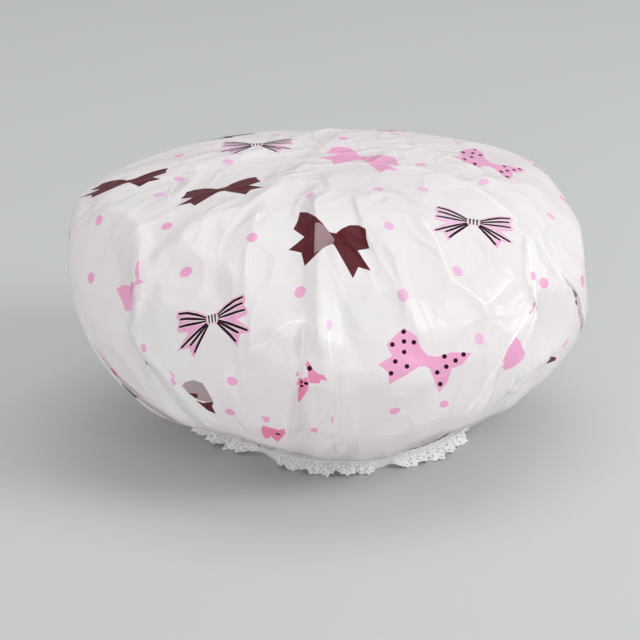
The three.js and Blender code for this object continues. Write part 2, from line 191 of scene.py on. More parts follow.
# Creases: lines, how high they stand, or how deep with a minus, and how wide they are on the right
# and on the left of someone who walks along them, in millimetres. Those of the front go through
# pixels of the photograph, the others through azimuths and shares.
CREASE_BLUNTNESS = 1 / 8
CREASE_FADE = (0.85, 0.98)
SEEN_CREASES = [
    ([(311, 205), (313, 250), (314, 300), (317, 340)], 5, 1.4, 8),
    ([(338, 235), (343, 300), (348, 340)], -3.4, 5, 6),
    (FRONT_ARCH, 3.4, 13, 1.6),
    ([(246, 368), (270, 364), (285, 348), (300, 340)], -2.1, 6, 6),
    ([(259, 209), (253.5, 233), (247, 252), (246, 277), (245, 305)], 1.7, 2.2, 2.2),
    ([(250, 205), (222, 233), (214, 287)], -2.9, 6, 6),
    ([(304, 328), (303, 345), (301, 362), (299, 405), (302, 435)], -3.1, 3, 3),
    ([(320, 329), (317, 350), (309, 361)], 1.8, 3, 2),
    ([(291, 352), (289, 405)], 1.8, 4, 3),
    ([(320, 365), (348, 369.5), (380, 368), (411, 363)], 1.6, 12, 1.8),
    ([(383, 232), (392, 249), (400, 268), (403, 290), (414, 316), (422, 335)], 2.6, 3.5, 2),
    (RIGHT_SLOPE, 2.9, 6, 2),
    (RIGHT_SPUR, 2.3, 3, 4),
    ([(485, 307), (482, 332)], -2.3, 7, 7),
    ([(403, 166), (444, 173), (474, 186), (499, 205), (518, 221), (528, 240)], 2.9, 7, 2.4),
    ([(397, 156), (430, 160), (474, 175), (499, 190), (520, 213)], -2.1, 4, 4),
    ([(400, 146), (450, 155), (505, 183), (535, 205), (549, 225)], 2.6, 6, 2.4),
    ([(330, 131), (270, 150), (215, 160), (165, 172)], 2.1, 3, 6),
    ([(345, 135), (300, 165), (262, 198)], 1.8, 3, 5),
    ([(300, 178), (240, 205), (190, 228), (175, 255)], 2, 3, 6),
    ([(108, 212), (122, 214), (138, 225), (144, 241), (143, 258), (140, 285)], 3.9, 12, 3),
    ([(112, 250), (114, 290), (122, 325)], -3.4, 10, 8),
    ([(160, 255), (163, 285), (158, 320)], 1.6, 4, 4),
    (LEFT_SPUR, 2.1, 4, 2),
    ([(126, 302), (127, 332)], -3.1, 4, 4),
    (LEFT_SLOPE, 2.9, 6, 2),
    ([(114, 350), (150, 395), (200, 420)], 2.3, 6, 6),
    ([(326, 365), (328, 435)], 1.3, 2.5, 2),
    ([(335, 372), (339, 440)], -1.3, 2.5, 2.5),
    ([(344, 380), (348, 440)], 1.3, 3, 2),
    ([(282, 421), (288, 434), (293, 448)], 1.4, 2, 2),
    ([(263, 441), (243, 412), (226, 386)], 2.1, 4, 3),
    ([(395, 395), (390, 450)], 1.6, 5, 4),
    ([(430, 385), (415, 440)], 1.8, 5, 4),
    (
        [(535, 303), (524, 321), (513, 338), (502, 360), (491, 376), (480, 396), (469, 409), (455, 426)],
        2.3,
        1.3,
        7,
    ),
    ([(528, 246), (532, 263), (538, 290), (544, 310), (545, 335), (538, 355)], -9, 2, 24),
    ([(538, 235), (549, 257), (560, 274), (571, 290), (578, 310)], 2.9, 7, 3),
    ([(571, 352), (554, 360), (540, 371), (531, 382)], 2.4, 6, 3),
]
CREASES = [
    ([(15, 0.5), (45, 0.38), (58, 0.42)], 5.5, 14, 5),
    ([(170, 0.42), (190, 0.42)], 4, 13, 6),
    ([(8, 0.05), (355, 0.31)], 2, 6, 3),
    ([(112, 0.3), (130, 0.62)], 4.5, 4, 11),
    ([(60, 0.2), (82, 0.5)], 3.5, 9, 3),
    ([(140, 0.12), (160, 0.4)], 3, 3, 9),
]

# Panels where the film lies flat: azimuth, share, and how deep in millimetres each one cuts into the
# puffed shape. Those of the back and the sides lie in a spiral.
PANEL_EDGE = 0.5 * MM
FRONT_PANELS = [
    (212, 0.5, 3.5), (240, 0.43, 3), (259, 0.35, 3), (269, 0.43, 2.2), (284, 0.3, 3),
    (304, 0.35, 3.2), (316, 0.47, 2.6), (206, 0.15, 2.6), (309, 0.04, 2), (352, 0.17, 2.8),
    (339, 0.45, 3.4), (328, 0.6, 3), (260, 0.66, 3), (282, 0.68, 3), (300, 0.64, 3),
    (224, 0.68, 3.4), (245, 0.57, 2.6),
]
FRONT_SECTOR = (195, 350)
FRONT_START = 0.08
BACK_PANELS = 44
BACK_PANEL_TURN = 0.5
BACK_PANEL_START = 0.1
BACK_PANEL_REACH = 0.72
BACK_PANEL_DEPTH = 2.6
BACK_PANEL_UNEVENNESS = 0.9
BACK_PANEL_WAVE = 5
GOLDEN_TURN = math.pi * (3 - math.sqrt(5))

# Gathers next to the seam, and broad billows above them; lists hold waves, each with its size, its
# number round the cap, and its start
GATHERS = 104
GATHER_DEPTH = 2.2 * MM
GATHER_SPAN = (0.9, 0.965, 1)
BILLOWS = 23
BILLOW_DEPTH = 1.1 * MM
BILLOW_RISE = (0.45, 0.8)
BILLOW_FALL = (0.92, 1)
BILLOW_MEAN = 0.6
BILLOW_UNEVENNESS = [(0.4, 5, 1)]
BILLOW_WANDER = [(0.05, 3, 0), (0.03, 7, 2)]
FRILL_WANDER = [(0.4, 9, 0)]

# Grids of the smooth shape: what lines of sight meet, what its slope is read from, and what its
# length is measured on
SIGHT_COLUMNS = 180
SIGHT_ROWS = 90
SIGHT_START = 0.002
NORMAL_STEP = 0.004
WAY_COLUMNS = 24
WAY_STEPS = 400


def around(values, azimuth):
    """A smooth closed curve through values at equal azimuths."""
    count = len(values)
    values = np.asarray(values, float)
    place = np.mod(azimuth / FULL_TURN, 1) * count
    i = np.floor(place).astype(int)
    f = place - i
    before, here, after, beyond = (values[(i + k) % count] for k in (-1, 0, 1, 2))
    bend = 2 * before - 5 * here + 4 * after - beyond
    twist = 3 * (here - after) + beyond - before
    return here + f / 2 * (after - before + f * (bend + f * twist))


def smoothstep(value, low, high):
    """Rises smoothly from 0 at the low value to 1 at the high one."""
    x = np.clip((value - low) / (high - low), 0, 1)
    return x * x * (3 - 2 * x)


def turns(count):
    """Equal azimuths all round."""
    return np.arange(count) / count * FULL_TURN


def waves(parts, azimuth):
    """Adds up waves that are written as size, number round the cap, and start."""
    return sum(size * np.sin(number * azimuth + start) for size, number, start in parts)


def elastic_radius(azimuth):
    return ELASTIC_RADIUS * around(ELASTIC_SHARES, azimuth)


def spiral(count, start):
    """Azimuths, and shares of a radius, that spread places evenly over a disc."""
    for number in range(count):
        yield (number * GOLDEN_TURN + start) % FULL_TURN, math.sqrt((number + 0.5) / count)


def polar(azimuth, radius, height):
    azimuth, radius, height = np.broadcast_arrays(azimuth, radius, height)
    return np.stack([radius * np.cos(azimuth), radius * np.sin(azimuth), height], -1)


def smooth_point(azimuth, share):
    """The puffed shape without its folds."""
    rim = elastic_radius(azimuth) + HEM_HALF_DEPTH
    wide = PUFF_RADIUS * around(PUFF_SHARES, azimuth)
    middle = WIDEST_HEIGHT * around(WIDEST_SHARES, azimuth)
    upper = np.clip(share / WIDEST_SHARE, 0, 1) * math.pi / 2
    lower = np.clip((share - WIDEST_SHARE) / (1 - WIDEST_SHARE), 0, 1) * math.pi / 2
    above = 2 / (UPPER_POWER * around(UPPER_POWER_SHARES, azimuth))
    below = 2 / (LOWER_POWER * around(LOWER_POWER_SHARES, azimuth))
    top = np.asarray(share) < WIDEST_SHARE
    radius = np.where(top, wide * np.sin(upper) ** above, rim + (wide - rim) * np.cos(lower) ** below)
    rise = (CROWN_HEIGHT - middle) * np.clip(np.cos(upper), 0, 1) ** above
    drop = (middle - SEAM_HEIGHT) * np.sin(lower) ** below
    return polar(azimuth, radius, middle + np.where(top, rise, -drop))


def smooth_normal(azimuth, share):
    step = NORMAL_STEP
    along = smooth_point(azimuth, np.minimum(share + step, 1))
    along = along - smooth_point(azimuth, np.maximum(share - step, step))
    across = smooth_point(azimuth + step, share) - smooth_point(azimuth - step, share)
    normal = np.cross(along, across)
    return normal / np.maximum(np.linalg.norm(normal, axis=-1, keepdims=True), TINY)


def smooth_tree():
    """The smooth shape as a coarse mesh that lines of sight can meet."""
    down = np.linspace(SIGHT_START, 1, SIGHT_ROWS)
    grid = smooth_point(turns(SIGHT_COLUMNS)[:, None], down[None, :])
    faces = []
    for i in range(SIGHT_COLUMNS):
        here, beyond = SIGHT_ROWS * i, SIGHT_ROWS * ((i + 1) % SIGHT_COLUMNS)
        faces += [(here + j, here + j + 1, beyond + j + 1, beyond + j) for j in range(SIGHT_ROWS - 1)]
    return BVHTree.FromPolygons([tuple(p) for p in grid.reshape(-1, 3)], faces)


def crease_lines():
    """Every crease: the corners of its line on the smooth shape, its height and its two widths."""
    tree = smooth_tree()
    lines = []
    for pixels, *sizes in SEEN_CREASES:
        hits = [tree.ray_cast(camera.location, pixel_way(pixel))[0] for pixel in pixels]
        corners = np.array([tuple(hit) for hit in hits if hit is not None])
        lines.append((corners, *(size * MM for size in sizes)))
    for stops, *sizes in CREASES:
        stops = np.array(stops, float)
        corners = smooth_point(np.radians(stops[:, 0]), stops[:, 1])
        lines.append((corners, *(size * MM for size in sizes)))
    return lines


def line_distance(points, normals, corners):
    """The least distance from each point to a line, and whether the point is on its right."""
    least = np.full(len(points), np.inf)
    right = np.zeros(len(points), bool)
    for start, end in zip(corners[:-1], corners[1:]):
        span = end - start
        way = np.clip((points - start) @ span / (span @ span), 0, 1)
        away = points - start - way[:, None] * span
        distance = np.linalg.norm(away, axis=1)
        aside = np.einsum("ij,ij->i", np.cross(span, normals), away)
        right = np.where(distance < least, aside > 0, right)
        least = np.minimum(least, distance)
    return least, right


def panel_sites():
    """Azimuth, share and depth of each flat panel."""
    sites = [(math.radians(azimuth), share, depth * MM) for azimuth, share, depth in FRONT_PANELS]
    for number, (azimuth, way) in enumerate(spiral(BACK_PANELS, BACK_PANEL_TURN)):
        share = BACK_PANEL_START + BACK_PANEL_REACH * way
        depth = BACK_PANEL_DEPTH + BACK_PANEL_UNEVENNESS * math.sin(BACK_PANEL_WAVE * number)
        front = FRONT_SECTOR[0] < math.degrees(azimuth) < FRONT_SECTOR[1] and share > FRONT_START
        if not front:
            sites.append((azimuth, share, depth * MM))
    return sites


def flatten(points):
    """Presses the film flat at each panel, so that soft edges stand between the panels."""
    for azimuth, share, depth in panel_sites():
        site = smooth_point(np.array([azimuth]), np.array([share]))[0]
        normal = smooth_normal(np.array([azimuth]), np.array([share]))[0]
        over = (points - site) @ normal + depth
        over = (over + np.hypot(over, PANEL_EDGE)) / 2
        points = points - over[:, None] * normal
    return points


def crease_lift(azimuth, share, lines):
    """How far the creases lift the film off the smooth shape."""
    points = smooth_point(azimuth, share)
    normals = smooth_normal(azimuth, share)
    lift = np.zeros(len(points))
    for corners, height, right_width, left_width in lines:
        away, right = line_distance(points, normals, corners)
        width = np.where(right, right_width, left_width)
        blunt = CREASE_BLUNTNESS * width
        lift += height * np.exp(-(np.hypot(away, blunt) - blunt) / width)
    return lift


def closed_steps(outline, step):
    """An outline with its long sides divided."""
    points = []
    for start, end in zip(outline, np.roll(outline, -1, axis=0)):
        count = max(1, math.ceil(np.linalg.norm(end - start) / step))
        points += [start + (end - start) * k / count for k in range(count)]
    return np.array(points)


def open_steps(corners, step):
    """Points at equal steps along a line."""
    corners = np.array(corners, float)
    ways = np.append(0, np.cumsum(np.linalg.norm(np.diff(corners, axis=0), axis=1)))
    along = np.linspace(0, ways[-1], 1 + math.ceil(ways[-1] / step))
    return np.stack([np.interp(along, ways, corners[:, axis]) for axis in (0, 1)], -1).tolist()


# The cap's edge in the photograph, in pixels, and the middle that its distance is measured from
EDGE_MIDDLE = (328, 296)
EDGE = [
    (67, 262), (72, 215), (78, 196), (110, 173), (140, 160), (175, 148), (220, 137), (280, 130),
    (330, 128), (390, 130), (440, 136), (490, 145), (530, 158), (542, 166), (555, 185), (568, 205),
    (580, 223), (583, 250), (587, 290), (589, 318), (586, 335), (575, 352), (567, 363), (545, 379),
    (525, 393), (510, 408), (500, 411), (480, 420), (456, 430), (430, 436), (405, 448), (385, 458),
    (344, 459), (318, 457), (296, 452), (262, 444), (242, 437), (215, 430), (190, 426), (165, 419),
    (150, 411), (120, 385), (105, 370), (90, 349), (78, 320), (70, 290),
]
EDGE_STEP = 2
EDGE_SOFTNESS = 1.5
SEAM_FADE = (0.965, 0.995)


def edge_reach(turn):
    """How many pixels from its middle the edge lies, in the direction of a turn."""
    path = closed_steps(np.array(EDGE, float) - EDGE_MIDDLE, EDGE_STEP)
    known = np.mod(np.arctan2(path[:, 1], path[:, 0]), FULL_TURN)
    order = np.argsort(known)
    return np.interp(turn, known[order], np.linalg.norm(path[order], axis=1), period=FULL_TURN)


def hold_within(points, hold):
    """Draws in what would stand outside the cap's edge in the photograph."""
    place, right, up = (np.array(v) for v in (camera.location, RIGHT, UP))
    ahead = np.cross(up, right)
    away = points - place
    pixel = METRES_PER_PIXEL / DISTANCE * (away @ ahead)
    across = away @ right / pixel + AIM_PIXEL[0] - EDGE_MIDDLE[0]
    down = -(away @ up + (AIM - camera.location).dot(UP)) / pixel + AIM_PIXEL[1] - EDGE_MIDDLE[1]
    reach = np.hypot(across, down)
    over = reach - edge_reach(np.arctan2(down, across))
    over = (over + np.hypot(over, EDGE_SOFTNESS)) / 2 * hold
    inward = (across / reach)[:, None] * right - (down / reach)[:, None] * up
    return points - (over * pixel)[:, None] * inward


def all_pleats():
    """The main pleats, and a small one between each two where they meet the seam."""
    main = sorted(MAIN_PLEATS, key=lambda pleat: pleat["along"][-1][0])
    pleats = list(main)
    for number, (here, beyond) in enumerate(zip(main, main[1:] + main[:1])):
        start, end = here["along"][-1][0], beyond["along"][-1][0]
        middle = start + (end - start) % 360 / 2
        begin = SMALL_PLEAT_START + SMALL_PLEAT_SHIFT * math.sin(SMALL_PLEAT_WAVE * number)
        along = [(middle + SMALL_PLEAT_LEAN, begin), (middle, 1)]
        pleats.append({"along": along, "weight": SMALL_PLEAT_WEIGHT, "top": 1 if number % 2 else -1})
    return sorted(pleats, key=lambda pleat: pleat["along"][-1][0] % 360)


def pleat_ring(flat_azimuth, share, flat_radius):
    """Where a ring of film goes when its pleats are laid: its azimuths and its lift off the shape.

    The pleats take up what the flat disc has more than the puffed shape, each by folding
    a part of the ring back on itself, so the film between them keeps its width.
    """
    outline = smooth_point(np.linspace(0, FULL_TURN, RING_POINTS), np.full(RING_POINTS, share))
    length = np.linalg.norm(np.diff(outline, axis=0), axis=1).sum()
    radius = length / FULL_TURN
    spare = PLEATED_SHARE * max(0, FULL_TURN * flat_radius - length)
    places, weights, tops = [], [], []
    for pleat in all_pleats():
        stops = np.array(pleat["along"], float)
        places.append(math.radians(np.interp(share, stops[:, 1], stops[:, 0])))
        start = stops[0, 1]
        grown = float(smoothstep(share, start, start + PLEAT_GROWTH * (1 - start)))
        weights.append(pleat["weight"] * grown)
        tops.append(pleat["top"])
    takes = spare / radius * np.array(weights) / max(sum(weights), LEAST_WEIGHT)
    places = np.array(places)
    speed = 1 + takes.sum() / FULL_TURN
    gaps = np.diff(np.append(places, places[0] + FULL_TURN))
    steps = (gaps + (takes + np.roll(takes, -1)) / 2) / speed
    flat_places = np.concatenate([[0], np.cumsum(steps)[:-1]])
    # turned so that the film is moved as little as possible
    flat_places += np.mean(places - flat_places)
    turn = flat_places[0]
    local = np.mod(flat_azimuth - turn, FULL_TURN)
    azimuth = places[0] + speed * local + takes[0] / 2
    lift = np.zeros_like(local)
    for place, take, top in zip(flat_places - turn, takes, tops):
        width = max(math.pi * take / (4 * speed), TINY)
        size = min(1, take * radius / FULL_PLEAT)
        for lap in (-1, 0, 1):
            u = (local - place - lap * FULL_TURN) / width
            azimuth -= take * (0.5 + 0.5 * np.sin(math.pi * np.clip(u, -0.5, 0.5)) - (lap < 0))
            edge = np.maximum(np.abs(u) - 1 / PLEAT_STEEPNESS, 0) * width * flat_radius
            side = np.clip(PLEAT_STEEPNESS * u, -1, 1) * np.exp(-edge / PLEAT_FADE)
            lift -= top * PLEAT_LIFT * size * side
    return azimuth, lift


def gather_lift(flat_azimuth, share):
    """How far the gathers at the seam and the billows lift the film."""
    start, peak, end = GATHER_SPAN
    depth = HEM_WAVE + (GATHER_DEPTH - HEM_WAVE) * (1 - smoothstep(share, peak, end))
    tight = depth * smoothstep(share, start, peak) * np.cos(GATHERS * flat_azimuth)
    tight -= (depth - HEM_WAVE) * smoothstep(share, start, peak)
    wander = flat_azimuth + waves(BILLOW_WANDER, flat_azimuth)
    swell = smoothstep(share, *BILLOW_RISE) * (1 - smoothstep(share, *BILLOW_FALL))
    uneven = BILLOW_MEAN + waves(BILLOW_UNEVENNESS, flat_azimuth)
    return tight + BILLOW_DEPTH * swell * uneven * np.cos(BILLOWS * wander)


def hem_rows(columns):
    """The rows of pleated film that go down outside the elastic, under it and up inside it."""
    flat_azimuth = turns(columns)
    azimuth, lift = pleat_ring(flat_azimuth, 1, DISC_RADIUS)
    layered = HEM_WAVE * (0.5 * np.cos(GATHERS * flat_azimuth) + 0.5 * lift / PLEAT_LIFT)
    foot = SEAM_HEIGHT - HEM_DROP
    bends = np.linspace(0, math.pi, HEM_BEND_ROWS)
    path = [(1, SEAM_HEIGHT - (k + 1) * HEM_OUTER_STEP) for k in range(HEM_SIDE_ROWS)]
    path += [(math.cos(bend), foot + HEM_BEND * (1 - math.sin(bend))) for bend in bends]
    path += [(-1, foot + HEM_BEND + (k + 1) * HEM_INNER_STEP) for k in range(HEM_SIDE_ROWS)]
    middle = elastic_radius(azimuth)
    rows = [polar(azimuth, middle + side * HEM_HALF_DEPTH + layered, height) for side, height in path]
    for rise, frill in FRILL_ROWS:
        radius = middle - HEM_HALF_DEPTH - FRILL_LEAN * MM * rise
        frills = frill * MM * np.cos(GATHERS * flat_azimuth + waves(FRILL_WANDER, flat_azimuth))
        rows.append(polar(azimuth, radius + frills + layered, SEAM_HEIGHT + rise * MM))
    return rows


def way_table():
    """Shares of the formula against shares of the film's length from crown to seam."""
    shares = np.linspace(0, 1, WAY_STEPS)
    points = smooth_point(turns(WAY_COLUMNS)[:, None], shares[None, :])
    steps = np.linalg.norm(np.diff(points, axis=1), axis=2).mean(axis=0)
    ways = np.concatenate([[0], np.cumsum(steps)])
    return ways / ways[-1], shares


def film_mesh(rings):
    """The disc's points, flat and puffed, and its triangles, in rings of 6, 12, 18 points."""
    ways, shares = way_table()
    lines = crease_lines()
    flat = [np.zeros((1, 2))]
    puffed = [np.array([[0, 0, CROWN_HEIGHT]])]
    triangles = []
    start = 1
    for ring in range(1, rings + 1):
        count = 6 * ring
        way = ring / rings
        share = np.interp(way, ways, shares)
        azimuth = turns(count)
        flat_radius = way * DISC_RADIUS
        flat.append(flat_radius * np.stack([np.cos(azimuth), np.sin(azimuth)], -1))
        turned, lift = pleat_ring(azimuth, share, flat_radius)
        full = np.full(count, share)
        lift = lift + crease_lift(turned, full, lines) * (1 - smoothstep(share, *CREASE_FADE))
        lift = lift + gather_lift(azimuth, full)
        point = flatten(smooth_point(turned, full)) + smooth_normal(turned, full) * lift[:, None]
        puffed.append(hold_within(point, 1 - smoothstep(share, *SEAM_FADE)))
        inner = start - 6 * (ring - 1)
        if ring == 1:
            triangles += [(0, start + i, start + (i + 1) % 6) for i in range(6)]
        else:
            few = count - 6
            for i in range(count):
                side, step = divmod(i, ring)
                above = side * (ring - 1) + step
                here, beyond = start + i, start + (i + 1) % count
                triangles.append((here, beyond, inner + above % few))
                if step < ring - 1:
                    triangles.append((inner + above % few, beyond, inner + (above + 1) % few))
        start += count
    return np.vstack(flat), np.vstack(puffed), triangles


def new_mesh(name, points, faces, smooth=True):
    mesh = bpy.data.meshes.new(name)
    mesh.from_pydata([tuple(p) for p in points], [], faces)
    mesh.update()
    if smooth:
        mesh.shade_smooth()
    obj = bpy.data.objects.new(name, mesh)
    bpy.context.scene.collection.objects.link(obj)
    return obj


# Settling: the film is let go from the puffed shape and finds the folds that its flat cut asks for.
# A coarse disc settles first, then the fine one. Shares of a correction are what one round makes.
COARSE_RINGS = 75
COARSE_ROUNDS = 500
FINE_ROUNDS = 160
STRETCH_SHARE = 0.3
BEND_SHARE = 0.08
CARRY_SHARE = 0.9
DOWN_FIRMNESS = 0.85
FREE_WAY = 0.985
AIR_PUSH = 0.001 * MM
NORMAL_ROUNDS = 10
OUTWARD_ROUNDS = 12
# How firmly the film is drawn back to its puffed place, where it is firm and where it is slack
FIRM_PULL = 0.02
SLACK_PULL = 0.002
# Slack, and room to swell in millimetres, at shares of the way from the crown to the seam
SLACK_WAYS = [0, 0.3, 0.6, 0.85, 1]
SLACK_SHARES = [0.1, 0.15, 0.35, 0.45, 0.6]
SWELL_WAYS = [0, 0.75, 0.88, 1]
SWELL_ROOM = [1.2, 1.2, 0.5, 0.3]
# The film is calmer at the front: the middle and the width of that sector, in degrees
CALM_AZIMUTH = 272
CALM_WIDTH = 92
CALM_SHARE = 0.9
CALM_FADE = (0.88, 0.97)
# Evening out of what the mesh is too coarse to show well
EVENING_PASSES = 2
EVENING_SHARE = 0.5
EVENING_FADE = (0.93, 0.98)


def film_links(triangles):
    """Pairs of points that share an edge, and pairs that face each other across one."""
    corners = np.array(triangles)
    sides = np.vstack([corners[:, [0, 1]], corners[:, [1, 2]], corners[:, [2, 0]]])
    opposite = np.concatenate([corners[:, 2], corners[:, 0], corners[:, 1]])
    low, high = sides.min(axis=1), sides.max(axis=1)
    order = np.lexsort((high, low))
    low, high, opposite = low[order], high[order], opposite[order]
    twin = (low[1:] == low[:-1]) & (high[1:] == high[:-1])
    first = np.append(True, ~twin)
    edges = np.stack([low[first], high[first]], -1)
    across = np.stack([opposite[:-1][twin], opposite[1:][twin]], -1)
    return corners, edges, across


def link_moves(points, links, lengths, share):
    """How far each point moves to bring its links nearer to their lengths."""
    span = points[links[:, 1]] - points[links[:, 0]]
    reach = np.maximum(np.linalg.norm(span, axis=1), TINY)
    error = (reach - lengths) / reach * share / 2
    move = span * error[:, None]
    total = np.empty_like(points)
    for axis in range(3):
        ahead = np.bincount(links[:, 0], move[:, axis], len(points))
        total[:, axis] = ahead - np.bincount(links[:, 1], move[:, axis], len(points))
    return total


def link_sums(values, links):
    """For each point, the sum of its neighbours' values."""
    total = np.zeros_like(values)
    for axis in range(3):
        total[:, axis] += np.bincount(links[:, 0], values[links[:, 1], axis], len(values))
        total[:, axis] += np.bincount(links[:, 1], values[links[:, 0], axis], len(values))
    return total


def point_normals(points, corners):
    a, b, c = (points[corners[:, k]] for k in range(3))
    face = np.cross(b - a, c - a)
    normal = np.zeros_like(points)
    for axis in range(3):
        for k in range(3):
            normal[:, axis] += np.bincount(corners[:, k], face[:, axis], len(points))
    return normal / np.maximum(np.linalg.norm(normal, axis=1, keepdims=True), TINY)


def slack_share(flat):
    """How far each point's film keeps the size it was cut to, from 0, as puffed, to 1, as cut."""
    way = np.linalg.norm(flat, axis=1) / DISC_RADIUS
    away = np.arctan2(flat[:, 1], flat[:, 0]) - math.radians(CALM_AZIMUTH)
    away = np.mod(away + math.pi, FULL_TURN) - math.pi
    calm = np.exp(-((away / math.radians(CALM_WIDTH)) ** 2)) * (1 - smoothstep(way, *CALM_FADE))
    return np.interp(way, SLACK_WAYS, SLACK_SHARES) * (1 - CALM_SHARE * calm)


def link_lengths(start, flat, links):
    """The lengths that links tend to: spare film goes round the cap, so its folds run up and down."""
    share = slack_share(flat)[links].mean(axis=1)
    span = flat[links[:, 1]] - flat[links[:, 0]]
    middle = flat[links].mean(axis=1)
    cut_length = np.linalg.norm(span, axis=1)
    reach = np.maximum(np.linalg.norm(middle, axis=1), TINY)
    down = np.einsum("ij,ij->i", span, middle) / (cut_length * reach)
    puffed_length = np.linalg.norm(start[links[:, 1]] - start[links[:, 0]], axis=1)
    return puffed_length + share * (1 - DOWN_FIRMNESS * down**2) * (cut_length - puffed_length)


def settle(start, flat, triangles, rounds):
    """Lets the film go from its puffed points, and returns where it comes to rest."""
    corners, edges, across = film_links(triangles)
    edge_lengths = link_lengths(start, flat, edges)
    across_lengths = link_lengths(start, flat, across)
    way = np.linalg.norm(flat, axis=1) / DISC_RADIUS
    free = (way < FREE_WAY)[:, None]
    outward = point_normals(start, corners)
    for _ in range(OUTWARD_ROUNDS):
        outward += link_sums(outward, edges)
        outward /= np.linalg.norm(outward, axis=1, keepdims=True)
    room = np.interp(way, SWELL_WAYS, SWELL_ROOM) * MM
    pull = FIRM_PULL + slack_share(flat)[:, None] * (SLACK_PULL - FIRM_PULL)
    points = start.copy()
    before = points.copy()
    for number in range(rounds):
        carried = CARRY_SHARE * (points - before)
        before = points.copy()
        move = carried + pull * (start - points)
        move += link_moves(points, edges, edge_lengths, STRETCH_SHARE)
        move += link_moves(points, across, across_lengths, BEND_SHARE)
        if number % NORMAL_ROUNDS == 0:
            normal = point_normals(points, corners)
        points = points + free * (move + AIR_PUSH * normal)
        swollen = np.einsum("ij,ij->i", points - start, outward) - room
        points -= np.maximum(swollen, 0)[:, None] * outward
    return points


def ring_values(values, ring):
    """The part of an array that belongs to one ring of the disc."""
    if ring == 0:
        return values[:1]
    start = 1 + 3 * ring * (ring - 1)
    return values[start : start + 6 * ring]


def spread(moves, rings, fine_rings):
    """Moves known on a coarse disc, read off at the points of a fine one."""
    result = [moves[:1]]
    for ring in range(1, fine_rings + 1):
        place = ring / fine_rings * rings
        inner = min(int(place), rings - 1)
        part = place - inner
        turn = np.arange(6 * ring) / (6 * ring)
        value = np.zeros((6 * ring, 3))
        for known, share in ((inner, 1 - part), (inner + 1, part)):
            row = ring_values(moves, known)
            spots = np.arange(len(row) + 1) / len(row)
            for axis in range(3):
                value[:, axis] += share * np.interp(turn, spots, np.append(row[:, axis], row[0, axis]))
        result.append(value)
    return np.vstack(result)


def settled_film():
    """The film's flat points, its settled points and its triangles."""
    coarse_flat, coarse, coarse_triangles = film_mesh(COARSE_RINGS)
    flat, puffed, triangles = film_mesh(FILM_RINGS)
    moved = settle(coarse, coarse_flat, coarse_triangles, COARSE_ROUNDS)
    points = puffed + spread(moved - coarse, COARSE_RINGS, FILM_RINGS)
    points = settle(points, flat, triangles, FINE_ROUNDS)
    return flat, evened(points, flat, triangles), triangles


def evened(points, flat, triangles):
    """Takes out roughness finer than the mesh can show well, but not at the seam."""
    _, edges, _ = film_links(triangles)
    neighbours = np.bincount(edges.ravel(), minlength=len(points))[:, None]
    way = np.linalg.norm(flat, axis=1, keepdims=True) / DISC_RADIUS
    share = EVENING_SHARE * (1 - smoothstep(way, *EVENING_FADE))
    for _ in range(EVENING_PASSES):
        points = points + share * (link_sums(points, edges) / neighbours - points)
    return points


# Print: bows and dots, as outlines in millimetres, x to the right and y up
BOW_HALF = [
    (0, 2), (2.4, 2.3), (5, 5), (9, 7.4), (13.6, 8.4), (17.6, 7.6), (18.4, 3.4), (20.3, -0.8),
    (14.2, -3), (18, -6.8), (22, -10.6), (15.2, -10.4), (12.9, -16), (7.4, -9.6), (1.7, -3.2),
    (0, -2.8),
]
STRIPED_HALF = [
    (0, 2.4), (2.5, 2.6), (7, 5.8), (12.5, 8.5), (18.6, 9.2), (19.4, 6.2), (18.2, 3),
    (19.8, -0.2), (19.2, -2.8), (13.5, -4.2), (17.4, -8.6), (20.8, -13), (14.4, -13),
    (12.2, -19.6), (7.4, -11.8), (2.4, -3.6), (0, -3),
]
DOTTED_RIGHT = [
    (0, 2.6), (5, 3.2), (11, 7), (21.4, 9.4), (18.6, 3), (13.5, -1), (13.2, -8), (10.3, -14.4),
    (6, -8.4), (2.6, -3.6), (0, -3),
]
DOTTED_LEFT = [
    (0, 2.6), (4, 5), (8, 10.6), (15.2, 13.4), (18.6, 8.6), (22, 3), (17.6, -2.2), (23.6, -8),
    (17.6, -10.6), (15.6, -16.6), (8, -9.4), (3, -4), (0, -3),
]
STRIPES = [
    [(3.2, 1.5), (8, 4.5), (13, 6.9), (18, 7.8)],
    [(3.4, 0.5), (9, 2.4), (14, 3.9), (17.6, 4.4)],
    [(3.4, -0.5), (9, -0.2), (14, 0.2), (18.4, 0.2)],
    [(3.2, -1.7), (8, -4.6), (13.6, -8.4), (18.6, -12)],
    [(2.9, -2.4), (7, -6), (10.6, -9.4), (13.6, -12)],
    [(2.5, -3.1), (5.8, -7.6), (9, -12.2), (11.6, -16.6)],
]
STRIPE_WIDTH = 1.55
STRIPE_BORDER = 0.35
KNOT = [(-2.5, 2.6), (2.5, 2.6), (2.7, 0), (2.5, -2.8), (-2.5, -2.8), (-2.7, 0)]
KNOT_BARS = [-1.75, 0, 1.75]
KNOT_BAR_WIDTH = 1.15
KNOT_BAR_HALF = 2.4
SPOTS = [
    (-15, 11.4), (-13.6, 6.6), (-8.6, 7.4), (-19, 3.6), (-12.2, 1.4), (-15.4, -4.4), (-9, -5.4),
    (-16, -10.8), (17.6, 7.6), (8.4, 4.2), (14.4, 3.6), (10.6, -0.6), (6.8, -4.6), (9.8, -10),
]
SPOT_RADIUS = 1.25
SPOT_SIDES = 10
DOT_RADIUS = 2.75
DOT_SIDES = 14
OUTLINE_STEP = 1.7
# A printed line or a fold is a ribbon, and its ends are these shares of its width
RIBBON_ENDS = (0.6, 0.85)
# Pixels between the points of a fold
FOLD_STEP = 4
# The most that a bow fitted to the photograph is drawn out along the film
MOST_STRETCH = 1.45
